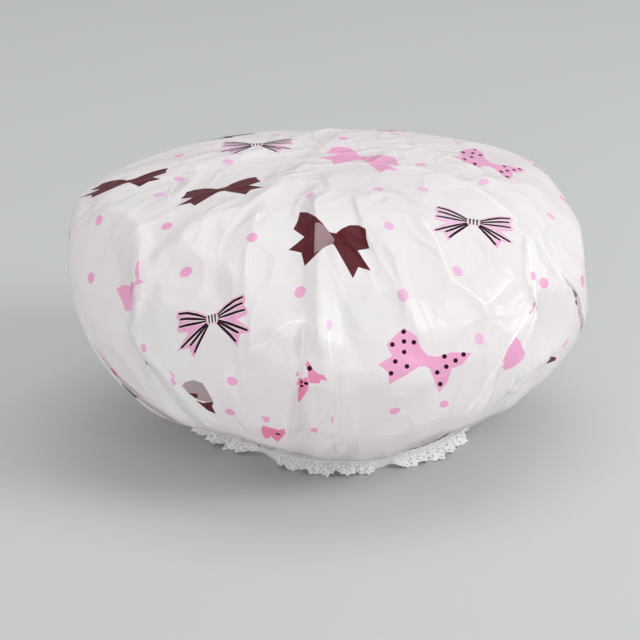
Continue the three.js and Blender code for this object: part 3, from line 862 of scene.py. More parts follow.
# The print ends at this radius, and places nearer than the gap become one where the film is cut
PRINT_REACH = 0.985 * DISC_RADIUS
CUT_GAP = 1e-7

# Finishes of the film, bare, pressed and inked: two colours that each varies between, its roughness,
# its specular level, and the share of light that passes through. Film at a pressed fold is doubled, so it
# lets less light through, and it is painted paler for a highlight along the fold. Rose is the pink ink
# where more film lies over it, shaded is the brown ink under it, and the paler brown is that ink under a
# lit fold of film, painted paler for the fold's highlight.
FILM_FINISHES = {
    "none": ((0.965, 0.915, 0.925), (0.97, 0.955, 0.957), 0.38, 0.5, 0.42),
    # Paler than bare film: doubled film, and a painted highlight along the fold
    "fold_with_painted_highlight": ((0.975, 0.955, 0.958), (0.98, 0.972, 0.973), 0.34, 0.5, 0.2),
    "pink": ((0.955, 0.42, 0.68), (0.985, 0.5, 0.76), 0.4, 0.4, 0.36),
    "lilac": ((0.93, 0.54, 0.79), (0.965, 0.63, 0.88), 0.4, 0.4, 0.36),
    "rose": ((0.96, 0.27, 0.5), (0.985, 0.33, 0.57), 0.4, 0.4, 0.3),
    "brown": ((0.095, 0.012, 0.017), (0.125, 0.02, 0.027), 0.36, 0.15, 0.3),
    "plum": ((0.03, 0.004, 0.014), (0.045, 0.008, 0.022), 0.36, 0.12, 0.3),
    "shaded": ((0.4, 0.31, 0.33), (0.5, 0.4, 0.42), 0.4, 0.45, 0.36),
    # Brown ink under a lit fold of film, painted paler for the fold's highlight
    "brown_under_painted_highlight": ((0.19, 0.095, 0.105), (0.4, 0.27, 0.29), 0.38, 0.4, 0.3),
}
FINISH_NAMES = {"none": "frosted film", "fold_with_painted_highlight": "film at a pressed fold with a painted highlight"}
INKS = list(FILM_FINISHES)

# Where the photograph shows bows: the kind, and points of its outline with their pixels
SEEN_BOWS = [
    ("brown", [((0, 0), (129, 181)), ((-22, -10.6), (79, 198)), ((22, -10.6), (161, 179))]),
    ("brown", [((0, 0), (221, 189.5)), ((-22, -10.6), (177, 206)), ((22, -10.6), (264, 187))]),
    (
        "brown",
        [((0, 0), (331, 237)), ((-22, -10.6), (289, 250)), ((22, -10.6), (372, 271)),
         ((12.9, -16), (352, 278))],
    ),
    ("striped on lilac", [((0, 0), (257, 144.5)), ((-20.8, -13), (217, 152.5)), ((20.8, -13), (294, 149))]),
    ("pink", [((0, 0), (361, 157)), ((-22, -10.6), (318, 157)), ((22, -10.6), (402, 175.5))]),
    (
        "dotted on pink",
        [((0, 0), (491, 166)), ((-23.6, -8), (451, 157)), ((21.4, 9.4), (526, 170)),
         ((10.3, -14.4), (509.5, 191))],
    ),
    (
        "striped on lilac",
        [((0, 0), (473.5, 219)), ((-18.6, 9.2), (440, 203)), ((-19.8, -0.2), (430, 220)),
         ((20.8, -13), (515.5, 244)), ((12.2, -19.6), (498, 247.5)), ((19.8, -0.2), (511.5, 231))],
    ),
    (
        "striped on pink",
        [((0, 0), (211, 319)), ((-19.8, -0.2), (175, 328.5)), ((19.8, -0.2), (246.5, 308.5)),
         ((-12.2, -19.6), (194.5, 360)), ((12.2, -19.6), (238, 345)), ((-18.6, 9.2), (179, 310.5)),
         ((18.6, 9.2), (244.5, 296))],
    ),
    (
        "dotted on pink",
        [((0, 0), (429, 356)), ((-23.6, -8), (376.5, 365.5)), ((-15.6, -16.6), (389, 384.5)),
         ((-15.2, 13.4), (402.5, 328)), ((-22, 3), (388.5, 345)), ((21.4, 9.4), (471, 354.5)),
         ((10.3, -14.4), (438.5, 393.5))],
    ),
]

# Pieces of print that show between folds: the ink, and the pixels round each piece
SEEN_PIECES = [
    (
        "pink",
        [(116, 289), (122.5, 284.5), (134, 283), (134.5, 286), (131.5, 298), (130, 311), (125.5, 311),
         (122.5, 302)],
    ),
    ("pink", [(135, 282), (137.5, 278), (144, 282), (135, 286)]),
    ("pink", [(137, 261), (139, 260), (140, 277), (136, 279)]),
    ("pink", [(140.5, 345), (145, 343.5), (147, 351), (143, 352.5)]),
    ("pink", [(168.5, 371), (171.5, 372), (176, 377), (172, 376)]),
    ("pink", [(170, 378), (173, 377), (176.5, 384), (173, 386)]),
    (
        "shaded",
        [(182, 386), (185, 382), (194, 380), (203, 383.5), (208, 392), (213, 401), (207, 402), (199, 400),
         (189, 394)],
    ),
    ("brown", [(189, 393), (197.5, 394), (197.5, 399), (194, 397.5)]),
    ("brown", [(196, 400.5), (203, 403), (213.5, 401.5), (212, 406.5), (216, 414), (208, 410.5)]),
    ("brown", [(121, 383), (124.5, 385.5), (138.5, 398), (135, 397.5)]),
    ("brown", [(145, 406), (161, 407.5), (157.5, 417), (153.5, 415.5)]),
    (
        "rose",
        [(308, 360.5), (311, 365), (313.5, 370), (318.5, 374), (323.5, 375), (328, 381), (321, 379.5),
         (319.5, 383.5), (310, 383), (308, 377), (308, 370), (305.5, 364.5)],
    ),
    (
        "rose",
        [(299, 378), (303, 379), (307, 377), (309, 382), (308, 389), (305, 394.5), (299.5, 402),
         (297.5, 400.5), (298.5, 392), (296.5, 384.5)],
    ),
    ("rose", [(298.5, 371), (295.5, 375), (298.5, 376.5)]),
    (
        "rose",
        [(263, 425.5), (266, 426.5), (272, 428), (279, 430), (284.5, 429), (285.5, 433), (283, 437),
         (278.5, 442), (274, 439), (271.5, 436), (268.5, 438.5), (265.5, 438.5), (262, 433), (261, 428)],
    ),
    ("pink", [(261.5, 416.5), (269, 417.5), (270, 420), (268, 422.5), (265, 422), (263, 419.5)]),
    ("pink", [(309.5, 430), (313, 428), (316.5, 428), (318, 430.5), (316, 433), (313, 432)]),
    ("pink", [(331, 417), (333, 416.5), (333, 423), (331.5, 423)]),
    (
        "pink",
        [(516, 337), (520, 341), (525, 352.5), (524, 357.5), (516.5, 365), (505, 370.5), (502, 361),
         (507.5, 349)],
    ),
    ("pink", [(533.5, 305.5), (535, 307.5), (530, 315), (528, 314)]),
    ("brown", [(546.5, 364), (550, 356.5), (556.5, 358), (555, 360.5)]),
    ("pink", [(531, 272.5), (533.5, 271), (535.5, 274.5), (535.5, 279.5), (533, 281), (531, 277.5)]),
    ("shaded", [(572, 289), (578, 296), (576, 298.5), (574.5, 297.5)]),
    # Brown ink under a lit fold of film, painted paler for the fold's highlight
    (
        "brown_under_painted_highlight",
        [(315, 223), (320, 223), (325, 226.5), (330, 233), (334.5, 239.5), (333, 243.5), (326, 246.5),
         (319, 251), (314, 254), (314.5, 236)],
    ),
    ("lilac", [(327, 321), (330.5, 320), (332.5, 324), (331, 329), (328, 329.5), (326.5, 326)]),
    ("brown", [(575, 300), (576.5, 300.5), (577.2, 305), (575.8, 304.5)]),
]

# Folds pressed into the film, drawn as thin pale lines of doubled film with a painted highlight along each:
# their pixels, and their width in millimetres
SEEN_FOLDS = [
    (
        [(528, 244), (531, 263), (535, 290), (537.5, 310), (532, 327), (524, 343), (516, 371), (510, 390),
         (507.5, 406)],
        1.1,
    ),
    ([(538, 235), (549, 257), (560, 274), (571, 290), (579, 312)], 0.8),
    ([(535, 303), (524, 321), (513, 338), (502, 360), (491, 376), (480, 396), (469, 409), (456, 425)], 0.7),
    ([(570, 352), (554, 360), (540, 371), (527, 387), (514, 403)], 0.9),
    ([(259, 209), (253.5, 233), (247, 252), (246, 277)], 0.5),
    ([(329, 332), (330, 350), (332, 363)], 0.7),
    (FRONT_ARCH, 0.5),
    ([(304, 327), (303, 345), (301, 361)], 0.6),
    ([(320, 330), (317, 350), (309, 361)], 0.6),
    (LEFT_SLOPE, 0.7),
    (LEFT_SPUR, 0.6),
    ([(141, 345), (147, 368), (160, 383)], 0.5),
    (RIGHT_SLOPE, 0.6),
    (RIGHT_SPUR, 0.5),
    ([(403, 166), (444, 173), (474, 186), (499, 205), (518, 221), (527, 238)], 0.6),
    ([(450, 155), (505, 183), (535, 205)], 0.5),
    ([(325, 386), (326, 412)], 0.6),
    ([(312.5, 382), (313, 402), (311.5, 428)], 0.5),
    ([(331, 386), (331.5, 408), (330, 434)], 0.4),
    ([(336.5, 380), (338, 405), (335.5, 438)], 0.5),
    ([(342, 376), (344, 402), (342, 424), (344, 446)], 0.4),
    ([(301, 372), (299, 384), (298.5, 391)], 0.4),
    ([(282, 411), (286, 423), (287.5, 434)], 0.5),
    ([(266, 406), (275, 415), (281, 422)], 0.4),
    ([(240, 413), (253, 421), (262, 428)], 0.4),
    ([(436, 414), (427, 428), (417, 440)], 0.4),
    ([(414, 316), (422, 335)], 0.6),
]

# Pixels of dark spots on those pieces, and of the dots
SEEN_SPOTS = [(309.5, 368.5), (301, 382), (301.5, 386), (306, 383.5), (278, 434)]
SEEN_PINK_DOTS = [
    (91, 278), (186, 272), (252, 237), (300, 292), (444, 404), (395, 411), (544, 283),
    (167, 226), (99, 220), (114, 372), (232, 381), (230, 412),
]
SEEN_LILAC_DOTS = [
    (310, 195), (378, 189), (423, 189), (389, 226), (403, 295), (457, 271), (479, 339),
    (483, 182), (551, 216), (565, 344), (159, 195), (179, 179), (228, 162), (395, 134),
    (458, 142),
]

# Bows on the sides that the photograph doesn't show: the kind, azimuth, share of the disc's radius,
# and turn
UNSEEN_BOWS = [
    ("brown", 6, 0.66, 80),
    ("striped on pink", 24, 0.48, 20),
    ("dotted on pink", 23, 0.76, 115),
    ("pink", 40, 0.5, 160),
    ("brown", 56, 0.74, 100),
    ("striped on pink", 68, 0.46, 190),
    ("dotted on pink", 72, 0.3, 150),
    ("pink", 86, 0.68, 170),
    ("brown", 101, 0.42, 215),
    ("striped on pink", 112, 0.74, 200),
    ("dotted on pink", 130, 0.5, 170),
    ("brown", 132, 0.3, 250),
    ("pink", 143, 0.76, 240),
    ("striped on pink", 158, 0.5, 220),
    ("brown", 172, 0.72, 262),
    ("dotted on pink", 178, 0.56, 250),
    ("pink", 3, 0.82, 95),
    ("brown", 33, 0.92, 120),
    ("dotted on pink", 78, 0.93, 160),
    ("striped on pink", 98, 0.93, 190),
    ("pink", 120, 0.95, 215),
    ("brown", 150, 0.93, 235),
    ("striped on pink", 188, 0.9, 275),
]

# Dots on those sides: places in a spiral are tried, clear of the bows, of each other and of the sector
# that the photograph shows
DOT_PLACES = 420
DOT_START = 1
SEEN_SECTOR = (198, 345)
SEEN_REACH = 0.99 * DISC_RADIUS
BOW_DOT_GAP = 27 * MM
DOT_GAP = 27 * MM


def both_halves(right, left=None):
    """A closed outline from its right half and, unless it mirrors that, its left half."""
    left = left or right
    return right + [(-x, y) for x, y in reversed(left[1:-1])]


def ribbon(middle, width):
    """The outline of a line of some width, narrower at its ends."""
    middle = np.array(middle, float)
    along = np.gradient(middle, axis=0)
    along /= np.linalg.norm(along, axis=1, keepdims=True)
    aside = np.stack([-along[:, 1], along[:, 0]], -1) * width / 2
    aside[0] *= RIBBON_ENDS[0]
    aside[-1] *= RIBBON_ENDS[1]
    return [tuple(p) for p in np.vstack([middle + aside, (middle - aside)[::-1]])]


def round_outline(centre, radius, sides):
    x, y = centre
    return [(x + radius * math.cos(turn), y + radius * math.sin(turn)) for turn in turns(sides)]


def bow_outlines(kind):
    """The inks of one bow and their outlines; a later one lies over an earlier one.

    A kind is an ink, or a pattern and the ink of its ground, as in "dotted on pink".
    """
    kind, _, ground = kind.partition(" on ")
    if kind == "striped":
        outlines = [(ground, both_halves(STRIPED_HALF))]
        for ink, width in (("none", STRIPE_WIDTH + 2 * STRIPE_BORDER), ("plum", STRIPE_WIDTH)):
            lines = [ribbon(line, width) for line in STRIPES]
            lines += [[(-x, y) for x, y in reversed(line)] for line in lines]
            outlines += [(ink, line) for line in lines]
        bar_ends = (-KNOT_BAR_HALF, KNOT_BAR_HALF)
        bars = [ribbon([(x, y) for y in bar_ends], KNOT_BAR_WIDTH) for x in KNOT_BARS]
        return outlines + [("none", KNOT)] + [("plum", bar) for bar in bars]
    if kind == "dotted":
        spots = [round_outline(spot, SPOT_RADIUS, SPOT_SIDES) for spot in SPOTS]
        return [(ground, both_halves(DOTTED_RIGHT, DOTTED_LEFT))] + [("plum", spot) for spot in spots]
    return [(kind, both_halves(BOW_HALF))]


def divided_bow(kind):
    """A bow's outlines as arrays of points, close enough to follow the film."""
    outlines = bow_outlines(kind)
    return [(ink, closed_steps(np.array(outline, float), OUTLINE_STEP)) for ink, outline in outlines]


def inside(points, outline):
    """Which points lie inside a closed outline."""
    within = np.zeros(len(points), bool)
    for (x1, y1), (x2, y2) in zip(outline, np.roll(outline, -1, axis=0)):
        crosses = (points[:, 1] > y1) != (points[:, 1] > y2)
        if y1 != y2:
            within ^= crosses & (points[:, 0] < x1 + (points[:, 1] - y1) * (x2 - x1) / (y2 - y1))
    return within


class Cloth:
    """The film as a flat disc and as it hangs, with ways to go from one to the other."""

    def __init__(self, flat, points, triangles):
        self.flat, self.points = flat, points
        self.corners = np.array(triangles)
        self.normals = point_normals(points, self.corners)
        level = [(x, y, 0) for x, y in flat]
        self.flat_tree = BVHTree.FromPolygons(level, triangles)
        self.tree = BVHTree.FromPolygons([tuple(p) for p in points], triangles)

    def shares(self, place, corner_points):
        """The weights of a triangle's three corners at a place in its plane."""
        a, b, c = corner_points
        span = np.stack([b - a, c - a], -1)
        part = np.linalg.lstsq(span, place - a, rcond=None)[0]
        return np.array([1 - part.sum(), *part])

    def raised(self, place):
        """Where a flat place lies on the hanging film, and the film's normal there."""
        _, _, face, _ = self.flat_tree.find_nearest((place[0], place[1], 0))
        corners = self.corners[face]
        shares = self.shares(np.asarray(place), self.flat[corners])
        return shares @ self.points[corners], shares @ self.normals[corners]

    def under_pixel(self, pixel):
        """The flat place of the film that shows at a pixel of the photograph."""
        hit, _, face, _ = self.tree.ray_cast(camera.location, pixel_way(pixel))
        if hit is None:
            return None
        corners = self.corners[face]
        return self.shares(np.array(hit), self.points[corners]) @ self.flat[corners]

    def under_pixels(self, pixels):
        """The flat places at the pixels where film shows, and which of the pixels those are."""
        places = [self.under_pixel(pixel) for pixel in pixels]
        seen = [place is not None for place in places]
        return np.array([place for place in places if place is not None]), np.array(seen)


def seen_outlines(cloth, kind, marks):
    """The flat outlines of a bow that the photograph shows, fitted to its points there.

    Where the model's film turns away from the camera more than the real one, the fit alone
    would draw the bow out along the film, so its stretch is limited.
    """
    design, pixels = (np.array(side, float) for side in zip(*marks))
    fit = np.linalg.lstsq(np.column_stack([design, np.ones(len(design))]), pixels, rcond=None)[0]
    result, made, printed = [], [], []
    for ink, local in divided_bow(kind):
        places, seen = cloth.under_pixels((local @ fit[:2] + fit[2]).tolist())
        made.append(local[seen] * MM)
        printed.append(places)
        result.append((ink, places))
    made, printed = np.vstack(made), np.vstack(printed)
    middle = printed.mean(axis=0)
    drawn_out = np.linalg.lstsq(made - made.mean(axis=0), printed - middle, rcond=None)[0].T
    ways, stretch, _ = np.linalg.svd(drawn_out)
    ease = ways @ np.diag(np.minimum(1, MOST_STRETCH / stretch)) @ ways.T
    return [(ink, middle + (places - middle) @ ease) for ink, places in result]


def unseen_outlines(kind, azimuth, way, turn):
    """The flat outlines of a bow on a side that the photograph doesn't show."""
    place = polar(math.radians(azimuth), way * DISC_RADIUS, 0)[:2]
    across = polar(math.radians(turn), MM, 0)[:2]
    axes = np.array([across, (-across[1], across[0])])
    return [(ink, place + local @ axes) for ink, local in divided_bow(kind)]


def dot_outlines(cloth, bow_places):
    """The flat outlines of the dots that the photograph shows, and of others clear of all bows."""
    pink_places, _ = cloth.under_pixels(SEEN_PINK_DOTS)
    lilac_places, _ = cloth.under_pixels(SEEN_LILAC_DOTS)
    inks = ["pink"] * len(pink_places) + ["lilac"] * len(lilac_places)
    dots = [*pink_places, *lilac_places]
    for azimuth, way in spiral(DOT_PLACES, DOT_START):
        radius = way * DISC_RADIUS
        place = polar(azimuth, radius, 0)[:2]
        seen = SEEN_SECTOR[0] < math.degrees(azimuth) < SEEN_SECTOR[1] and radius < SEEN_REACH
        clear = min(np.linalg.norm(place - other) for other in bow_places) > BOW_DOT_GAP
        if not seen and clear and min(np.linalg.norm(place - other) for other in dots) > DOT_GAP:
            dots.append(place)
    inks += ["pink"] * (len(dots) - len(inks))
    circle = np.array(round_outline((0, 0), DOT_RADIUS, DOT_SIDES)) * MM
    return [(ink, place + circle) for ink, place in zip(inks, dots)]


def flat_outlines(cloth):
    """The outlines of the whole print on the flat disc, each with its ink."""
    result = []
    # Pressed folds are drawn in the paler finish: painted highlight along each fold
    for pixels, width in SEEN_FOLDS:
        middle, _ = cloth.under_pixels(open_steps(pixels, FOLD_STEP))
        result.append(("fold_with_painted_highlight", np.array(ribbon(middle, width * MM))))
    bows = [seen_outlines(cloth, *bow) for bow in SEEN_BOWS]
    bows += [unseen_outlines(*bow) for bow in UNSEEN_BOWS]
    for outlines in bows:
        result += outlines
    result += dot_outlines(cloth, [outlines[0][1].mean(axis=0) for outlines in bows])
    for ink, pixels in SEEN_PIECES:
        corners, _ = cloth.under_pixels(pixels)
        result.append((ink, closed_steps(corners, OUTLINE_STEP * MM)))
    spot = np.array(round_outline((0, 0), SPOT_RADIUS, SPOT_SIDES)) * MM
    result += [("plum", place + spot) for place in cloth.under_pixels(SEEN_SPOTS)[0]]
    for number, (ink, outline) in enumerate(result):
        away = np.linalg.norm(outline, axis=1, keepdims=True)
        result[number] = (ink, outline * np.minimum(1, PRINT_REACH / away))
    return result


def loop_sides(start, count):
    """The sides of a closed outline, as pairs of numbers of its points."""
    return [(start + k, start + (k + 1) % count) for k in range(count)]


def printed_film(cloth):
    """The film's mesh cut along the print, so that each face has one ink."""
    outlines = flat_outlines(cloth)
    places = list(cloth.flat)
    sides = []
    for _, outline in outlines:
        sides += loop_sides(len(places), len(outline))
        places += list(outline)
    places = [Vector(place) for place in places]
    cut_places, _, faces, cut_from, _, _ = delaunay_2d_cdt(places, sides, [], 0, CUT_GAP)
    raised = []
    for place, origins in zip(cut_places, cut_from):
        if origins and origins[0] < len(cloth.flat):
            raised.append((cloth.points[origins[0]], cloth.normals[origins[0]]))
        else:
            raised.append(cloth.raised(np.array(place)))
    points, normals = (np.array(side) for side in zip(*raised))
    flat_points = np.array(cut_places)
    middles = flat_points[np.array(faces)].mean(axis=1)
    ink_numbers = np.zeros(len(faces), int)
    for ink, outline in outlines:
        low, high = outline.min(axis=0), outline.max(axis=0)
        near = np.flatnonzero(((middles > low) & (middles < high)).all(axis=1))
        ink_numbers[near[inside(middles[near], outline)]] = INKS.index(ink)
    return flat_points, points, normals, faces, ink_numbers


def add_hem(flat_points, points, normals, faces, ink_numbers):
    """Joins the hem's rows to the edge of the disc."""
    columns = 6 * FILM_RINGS
    away = np.linalg.norm(flat_points, axis=1)
    edge = np.flatnonzero(away > EDGE_SHARE * DISC_RADIUS)
    azimuth = np.arctan2(flat_points[edge, 1], flat_points[edge, 0])
    above = edge[np.argsort(np.mod(azimuth + EDGE_TURN, FULL_TURN))].tolist()
    grid = np.stack(hem_rows(columns))
    hem_faces = []
    for row in range(len(grid)):
        start = len(points) + row * columns
        below = list(range(start, start + columns))
        for i, j in loop_sides(0, columns):
            hem_faces.append((above[i], below[i], below[j], above[j]))
        above = below
    around_hem = np.roll(grid, -1, axis=1) - np.roll(grid, 1, axis=1)
    down_hem = np.gradient(grid, axis=0)
    hem_normals = np.cross(down_hem, around_hem).reshape(-1, 3)
    hem_normals /= np.linalg.norm(hem_normals, axis=1, keepdims=True)
    points = np.vstack([points, grid.reshape(-1, 3)])
    normals = np.vstack([normals, hem_normals])
    ink_numbers = np.append(ink_numbers, np.zeros(len(hem_faces), int))
    return points, normals, list(faces) + hem_faces, ink_numbers


def film_piece():
    """The whole film: settled, cut along its print, and hemmed."""
    cloth = Cloth(*settled_film())
    points, normals, faces, ink_numbers = add_hem(*printed_film(cloth))
    film = new_mesh("film", points, faces)
    film.data.polygons.foreach_set("material_index", ink_numbers)
    film.data.normals_split_custom_set_from_vertices([tuple(n) for n in normals])
    return film


# Lace: one repeat of its pattern, in millimetres, with y down from the sewn edge
LACE_WIDTH = 11.4
REPEATS = 98
REPEAT_WIDTH = 6
SCALLOPS = 2
SCALLOP_DEPTH = 0.9
SCALLOP_ROUNDNESS = 0.6
SCALLOP_STEPS = 24
SIDE_STEPS = 8
TOP_STEPS = 6
LACE_GRID = 1.1
LACE_GRID_GAP = 0.35
LACE_CUT_GAP = 1e-6
# Eyelets of one repeat: how far down the row is, the places across as shares, and the radius
EYELET_SIDES = 7
EYELET_ROWS = [
    (0.9, [0.25, 0.75], 0.32),
    (3.2, [0.125, 0.375, 0.625, 0.875], 0.34),
    (5.4, [0.25, 0.75], 0.5),
    (7.4, [0.5], 0.5),
    (9.2, [0.25, 0.75], 0.4),
]

# The lace as it stands: it leans out, opens into ruffles, is crimped where it leaves the seam, and
# its scallops curl up in places
LACE_SEEN_THICKNESS = 0.34 * MM
LACE_LEAN = 1.28 * MM
LACE_FOOT = 0.18 * MM
LACE_DROP_POWER = 1.15
LACE_JOIN_GAP = 0.02 * MM
RUFFLES = 43
RUFFLE_DEPTH = 3.4 * MM
RUFFLE_SOFTNESS = 0.5 * MM
RUFFLE_ROUNDING = 0.02
RUFFLE_RIPPLES = 3
RIPPLE_DEPTH = 0.12
RUFFLE_UNEVENNESS = [(0.35, 7, 0), (0.3, 17, 2)]
RUFFLE_WANDER = [(1.8, 5, 0), (1.1, 13, 2)]
CRIMPS = 118
CRIMP_DEPTH = 0.7 * MM
CRIMP_SPAN = (0, 0.25)
CRIMP_WANDER = [(2, 9, 0)]
CURLS = 23
CURL_HEIGHT = 2.2 * MM
CURL_START = 3
CURL_WANDER = [(2, 7, 0)]
# Stretches of the lace that are tucked in under the hem: the middle and the half width, in degrees
TUCKS = [(238, 8), (294, 5)]
TUCK_DEPTH = 3 * MM


def lace_outline():
    """The edge of one repeat: straight sides and top, and its scallops."""
    shoulder = LACE_WIDTH - SCALLOP_DEPTH
    bottom = []
    for k in range(SCALLOP_STEPS + 1):
        x = REPEAT_WIDTH * k / SCALLOP_STEPS
        scallop = abs(math.sin(SCALLOPS * math.pi * x / REPEAT_WIDTH)) ** SCALLOP_ROUNDNESS
        bottom.append((x, shoulder + SCALLOP_DEPTH * scallop))
    rungs = [k * shoulder / SIDE_STEPS for k in range(SIDE_STEPS)]
    left = [(0, y) for y in reversed(rungs)]
    right = [(REPEAT_WIDTH, y) for y in rungs]
    top = [(REPEAT_WIDTH * k / TOP_STEPS, 0) for k in range(1, TOP_STEPS)]
    return top + right + bottom[::-1] + left


def lace_holes():
    """The openwork of one repeat."""
    holes = []
    for down, shares, radius in EYELET_ROWS:
        centres = [(share * REPEAT_WIDTH, down) for share in shares]
        holes += [round_outline(centre, radius, EYELET_SIDES) for centre in centres]
    return holes


def on_lace(points, outline, holes):
    """Which points lie on the lace and in none of its holes."""
    solid = inside(points, outline)
    for hole in holes:
        solid &= ~inside(points, hole)
    return solid


def lace_repeat():
    """The points and triangles of one flat repeat."""
    outline = np.array(lace_outline())
    holes = np.array(lace_holes())
    places, sides = [], []
    for loop in (outline, *holes):
        sides += loop_sides(len(places), len(loop))
        places += list(loop)
    across, down = int(REPEAT_WIDTH / LACE_GRID), int(LACE_WIDTH / LACE_GRID)
    for i in range(1, across):
        for j in range(1, down):
            place = np.array([[i * REPEAT_WIDTH / across, j * LACE_WIDTH / down]])
            clear = min(math.dist(place[0], other) for other in places) > LACE_GRID_GAP
            if clear and on_lace(place, outline, holes)[0]:
                places.append(place[0])
    places = [Vector(place) for place in places]
    cut_places, _, faces, _, _, _ = delaunay_2d_cdt(places, sides, [], 0, LACE_CUT_GAP)
    points, faces = np.array(cut_places), np.array(faces)
    return points, faces[on_lace(points[faces].mean(axis=1), outline, holes)]


def lace_place(along, down):
    """Where a point of the flat lace lies: a share of its length, and millimetres from its top."""
    join = LACE_JOIN_AZIMUTH
    gap = LACE_END_GAP / float(elastic_radius(np.array([join]))[0])
    azimuth = join + gap / 2 + along * (FULL_TURN - gap)
    header = LACE_HEADER_WIDTH / MM
    part = np.clip((down - header) / (LACE_WIDTH - header), 0, 1)
    gathered = HEM_WAVE * np.cos(GATHERS * azimuth) * (1 - part)
    uneven = 1 + waves(RUFFLE_UNEVENNESS, azimuth)
    phase = RUFFLES * azimuth + waves(RUFFLE_WANDER, azimuth)
    ripple = np.sqrt(np.cos(phase / 2) ** 2 + RUFFLE_ROUNDING)
    ripple = ripple + RIPPLE_DEPTH * np.cos(RUFFLE_RIPPLES * phase)
    crimp = np.cos(CRIMPS * azimuth + waves(CRIMP_WANDER, azimuth))
    crimp *= CRIMP_DEPTH * smoothstep(part, *CRIMP_SPAN)
    tuck = sum(np.exp(-(((azimuth - middle) / half) ** 4)) for middle, half in np.radians(TUCKS))
    out = (LACE_LEAN + RUFFLE_DEPTH * uneven * ripple) * part + crimp
    out = (out + np.hypot(out, RUFFLE_SOFTNESS * part)) / 2 * (1 - tuck) - tuck * TUCK_DEPTH * part
    radius = elastic_radius(azimuth) + LACE_OFFSET + gathered + out
    height = LACE_TOP - np.minimum(down, header) * MM
    height -= part**LACE_DROP_POWER * (LACE_TOP - LACE_HEADER_WIDTH - LACE_FOOT)
    curl = np.sin(CURLS * azimuth + waves(CURL_WANDER, azimuth) + CURL_START)
    curl = CURL_HEIGHT * part**2 * (0.5 + 0.5 * curl) ** 2
    return polar(azimuth, radius, np.maximum(height + curl, LACE_FOOT))


def openwork_area():
    """The area of one flat repeat without its holes, in square metres."""
    points, faces = lace_repeat()
    a, b, c = (points[faces[:, k]] for k in range(3))
    return float(np.abs(np.cross(b - a, c - a)).sum() / 2) * MM**2


def lace_piece():
    """The whole lace: its repeats side by side round the hem, joined and given their thickness."""
    points, faces = lace_repeat()
    all_points, all_faces = [], []
    for number in range(REPEATS):
        along = (number + points[:, 0] / REPEAT_WIDTH) / REPEATS
        all_points.append(lace_place(along, points[:, 1]))
        all_faces.append(faces[:, ::-1] + number * len(points))
    lace = new_mesh("lace", np.vstack(all_points), np.vstack(all_faces).tolist())
    work = bmesh.new()
    work.from_mesh(lace.data)
    bmesh.ops.remove_doubles(work, verts=work.verts, dist=LACE_JOIN_GAP)
    work.to_mesh(lace.data)
    work.free()
    thick = lace.modifiers.new("thickness", "SOLIDIFY")
    thick.thickness = LACE_SEEN_THICKNESS
    thick.offset = 0
    return lace


# Film surface: noise scales are turns to a metre. The small creases are listed with whether they run
# up and down the cap, their scale, their height and their width.
CREASE_LAYERS = [(False, 14, 1, 0.05), (False, 33, 0.35, 0.05), (True, 20, 1, 0.06), (True, 47, 0.4, 0.07)]
CREASE_HEIGHT = 15 * MM
CREASE_LENGTH = 0.22
# Square metres that are added near the crown, so that the creases don't crowd together there
CROWN_EASE = 0.006
WAVE_SCALE = 15
WAVE_SHARE = 0.5
FROST_SCALE = 1500
FROST_SHARE = 0.003
CLOUD_CONTRAST = 2.6
CLOUD_FLOOR = 0.8
WEAR_SCALE = 260
# How much smoother and rougher the film gets with wear
WEAR_RANGE = (-0.07, 0.12)

# Thread and covered elastic
PLY_DISTORTION = 2.5
FIBRE_SCALE = 2600
FIBRE_SHARE = 0.5
YARN_SHEEN = 0.15
PLY_HEIGHT = 0.12 * MM
WRAP_SHARE = 0.25
RIB_HEIGHT = 0.2 * MM
# The elastic's rib height as a mask, and its two colours: the darker is painted shade in the grooves
RIB_SHADE = 0.66
ELASTIC_LOW = (0.72, 0.71, 0.68)
ELASTIC_HIGH = (0.92, 0.91, 0.88)

# Floor, lamps and sky
FLOOR_HALF = 6
FLOOR_LOW = (0.54, 0.555, 0.543)
FLOOR_HIGH = (0.56, 0.575, 0.563)
SKY_COLOUR = (0.97, 0.99, 0.985, 1)
SKY_STRENGTH = 0.65


def new_group(name, inputs, outputs):
    """A shader node group with float inputs and the named outputs."""
    group = bpy.data.node_groups.new(name, "ShaderNodeTree")
    for label, value in inputs.items():
        socket = group.interface.new_socket(label, in_out="INPUT", socket_type="NodeSocketFloat")
        socket.default_value = value
    for label in outputs:
        group.interface.new_socket(label, in_out="OUTPUT", socket_type="NodeSocketFloat")
    return group, group.nodes.new("NodeGroupInput").outputs, group.nodes.new("NodeGroupOutput").inputs


def feed(tree, socket, value):
    """Gives a socket another socket's value, a number or a colour."""
    if isinstance(value, bpy.types.NodeSocket):
        tree.links.new(value, socket)
    elif isinstance(value, tuple):
        socket.default_value = (*value[:3], 1)
    else:
        socket.default_value = value


def math_node(tree, operation, *values, clamp=False):
    """A Math node fed by sockets or numbers."""
    node = tree.nodes.new("ShaderNodeMath")
    node.operation = operation
    node.use_clamp = clamp
    for socket, value in zip(node.inputs, values):
        feed(tree, socket, value)
    return node.outputs["Value"]


def noise_node(tree, place, scale, detail, roughness=0.5):
    node = tree.nodes.new("ShaderNodeTexNoise")
    feed(tree, node.inputs["Vector"], place)
    feed(tree, node.inputs["Scale"], scale)
    feed(tree, node.inputs["Detail"], detail)
    feed(tree, node.inputs["Roughness"], roughness)
    return node.outputs["Fac"]


def object_place(tree):
    return tree.nodes.new("ShaderNodeTexCoord").outputs["Object"]


def split_place(tree, place):
    """The X, Y and Z of a place."""
    split = tree.nodes.new("ShaderNodeSeparateXYZ")
    feed(tree, split.inputs["Vector"], place)
    return [split.outputs[axis] for axis in "XYZ"]


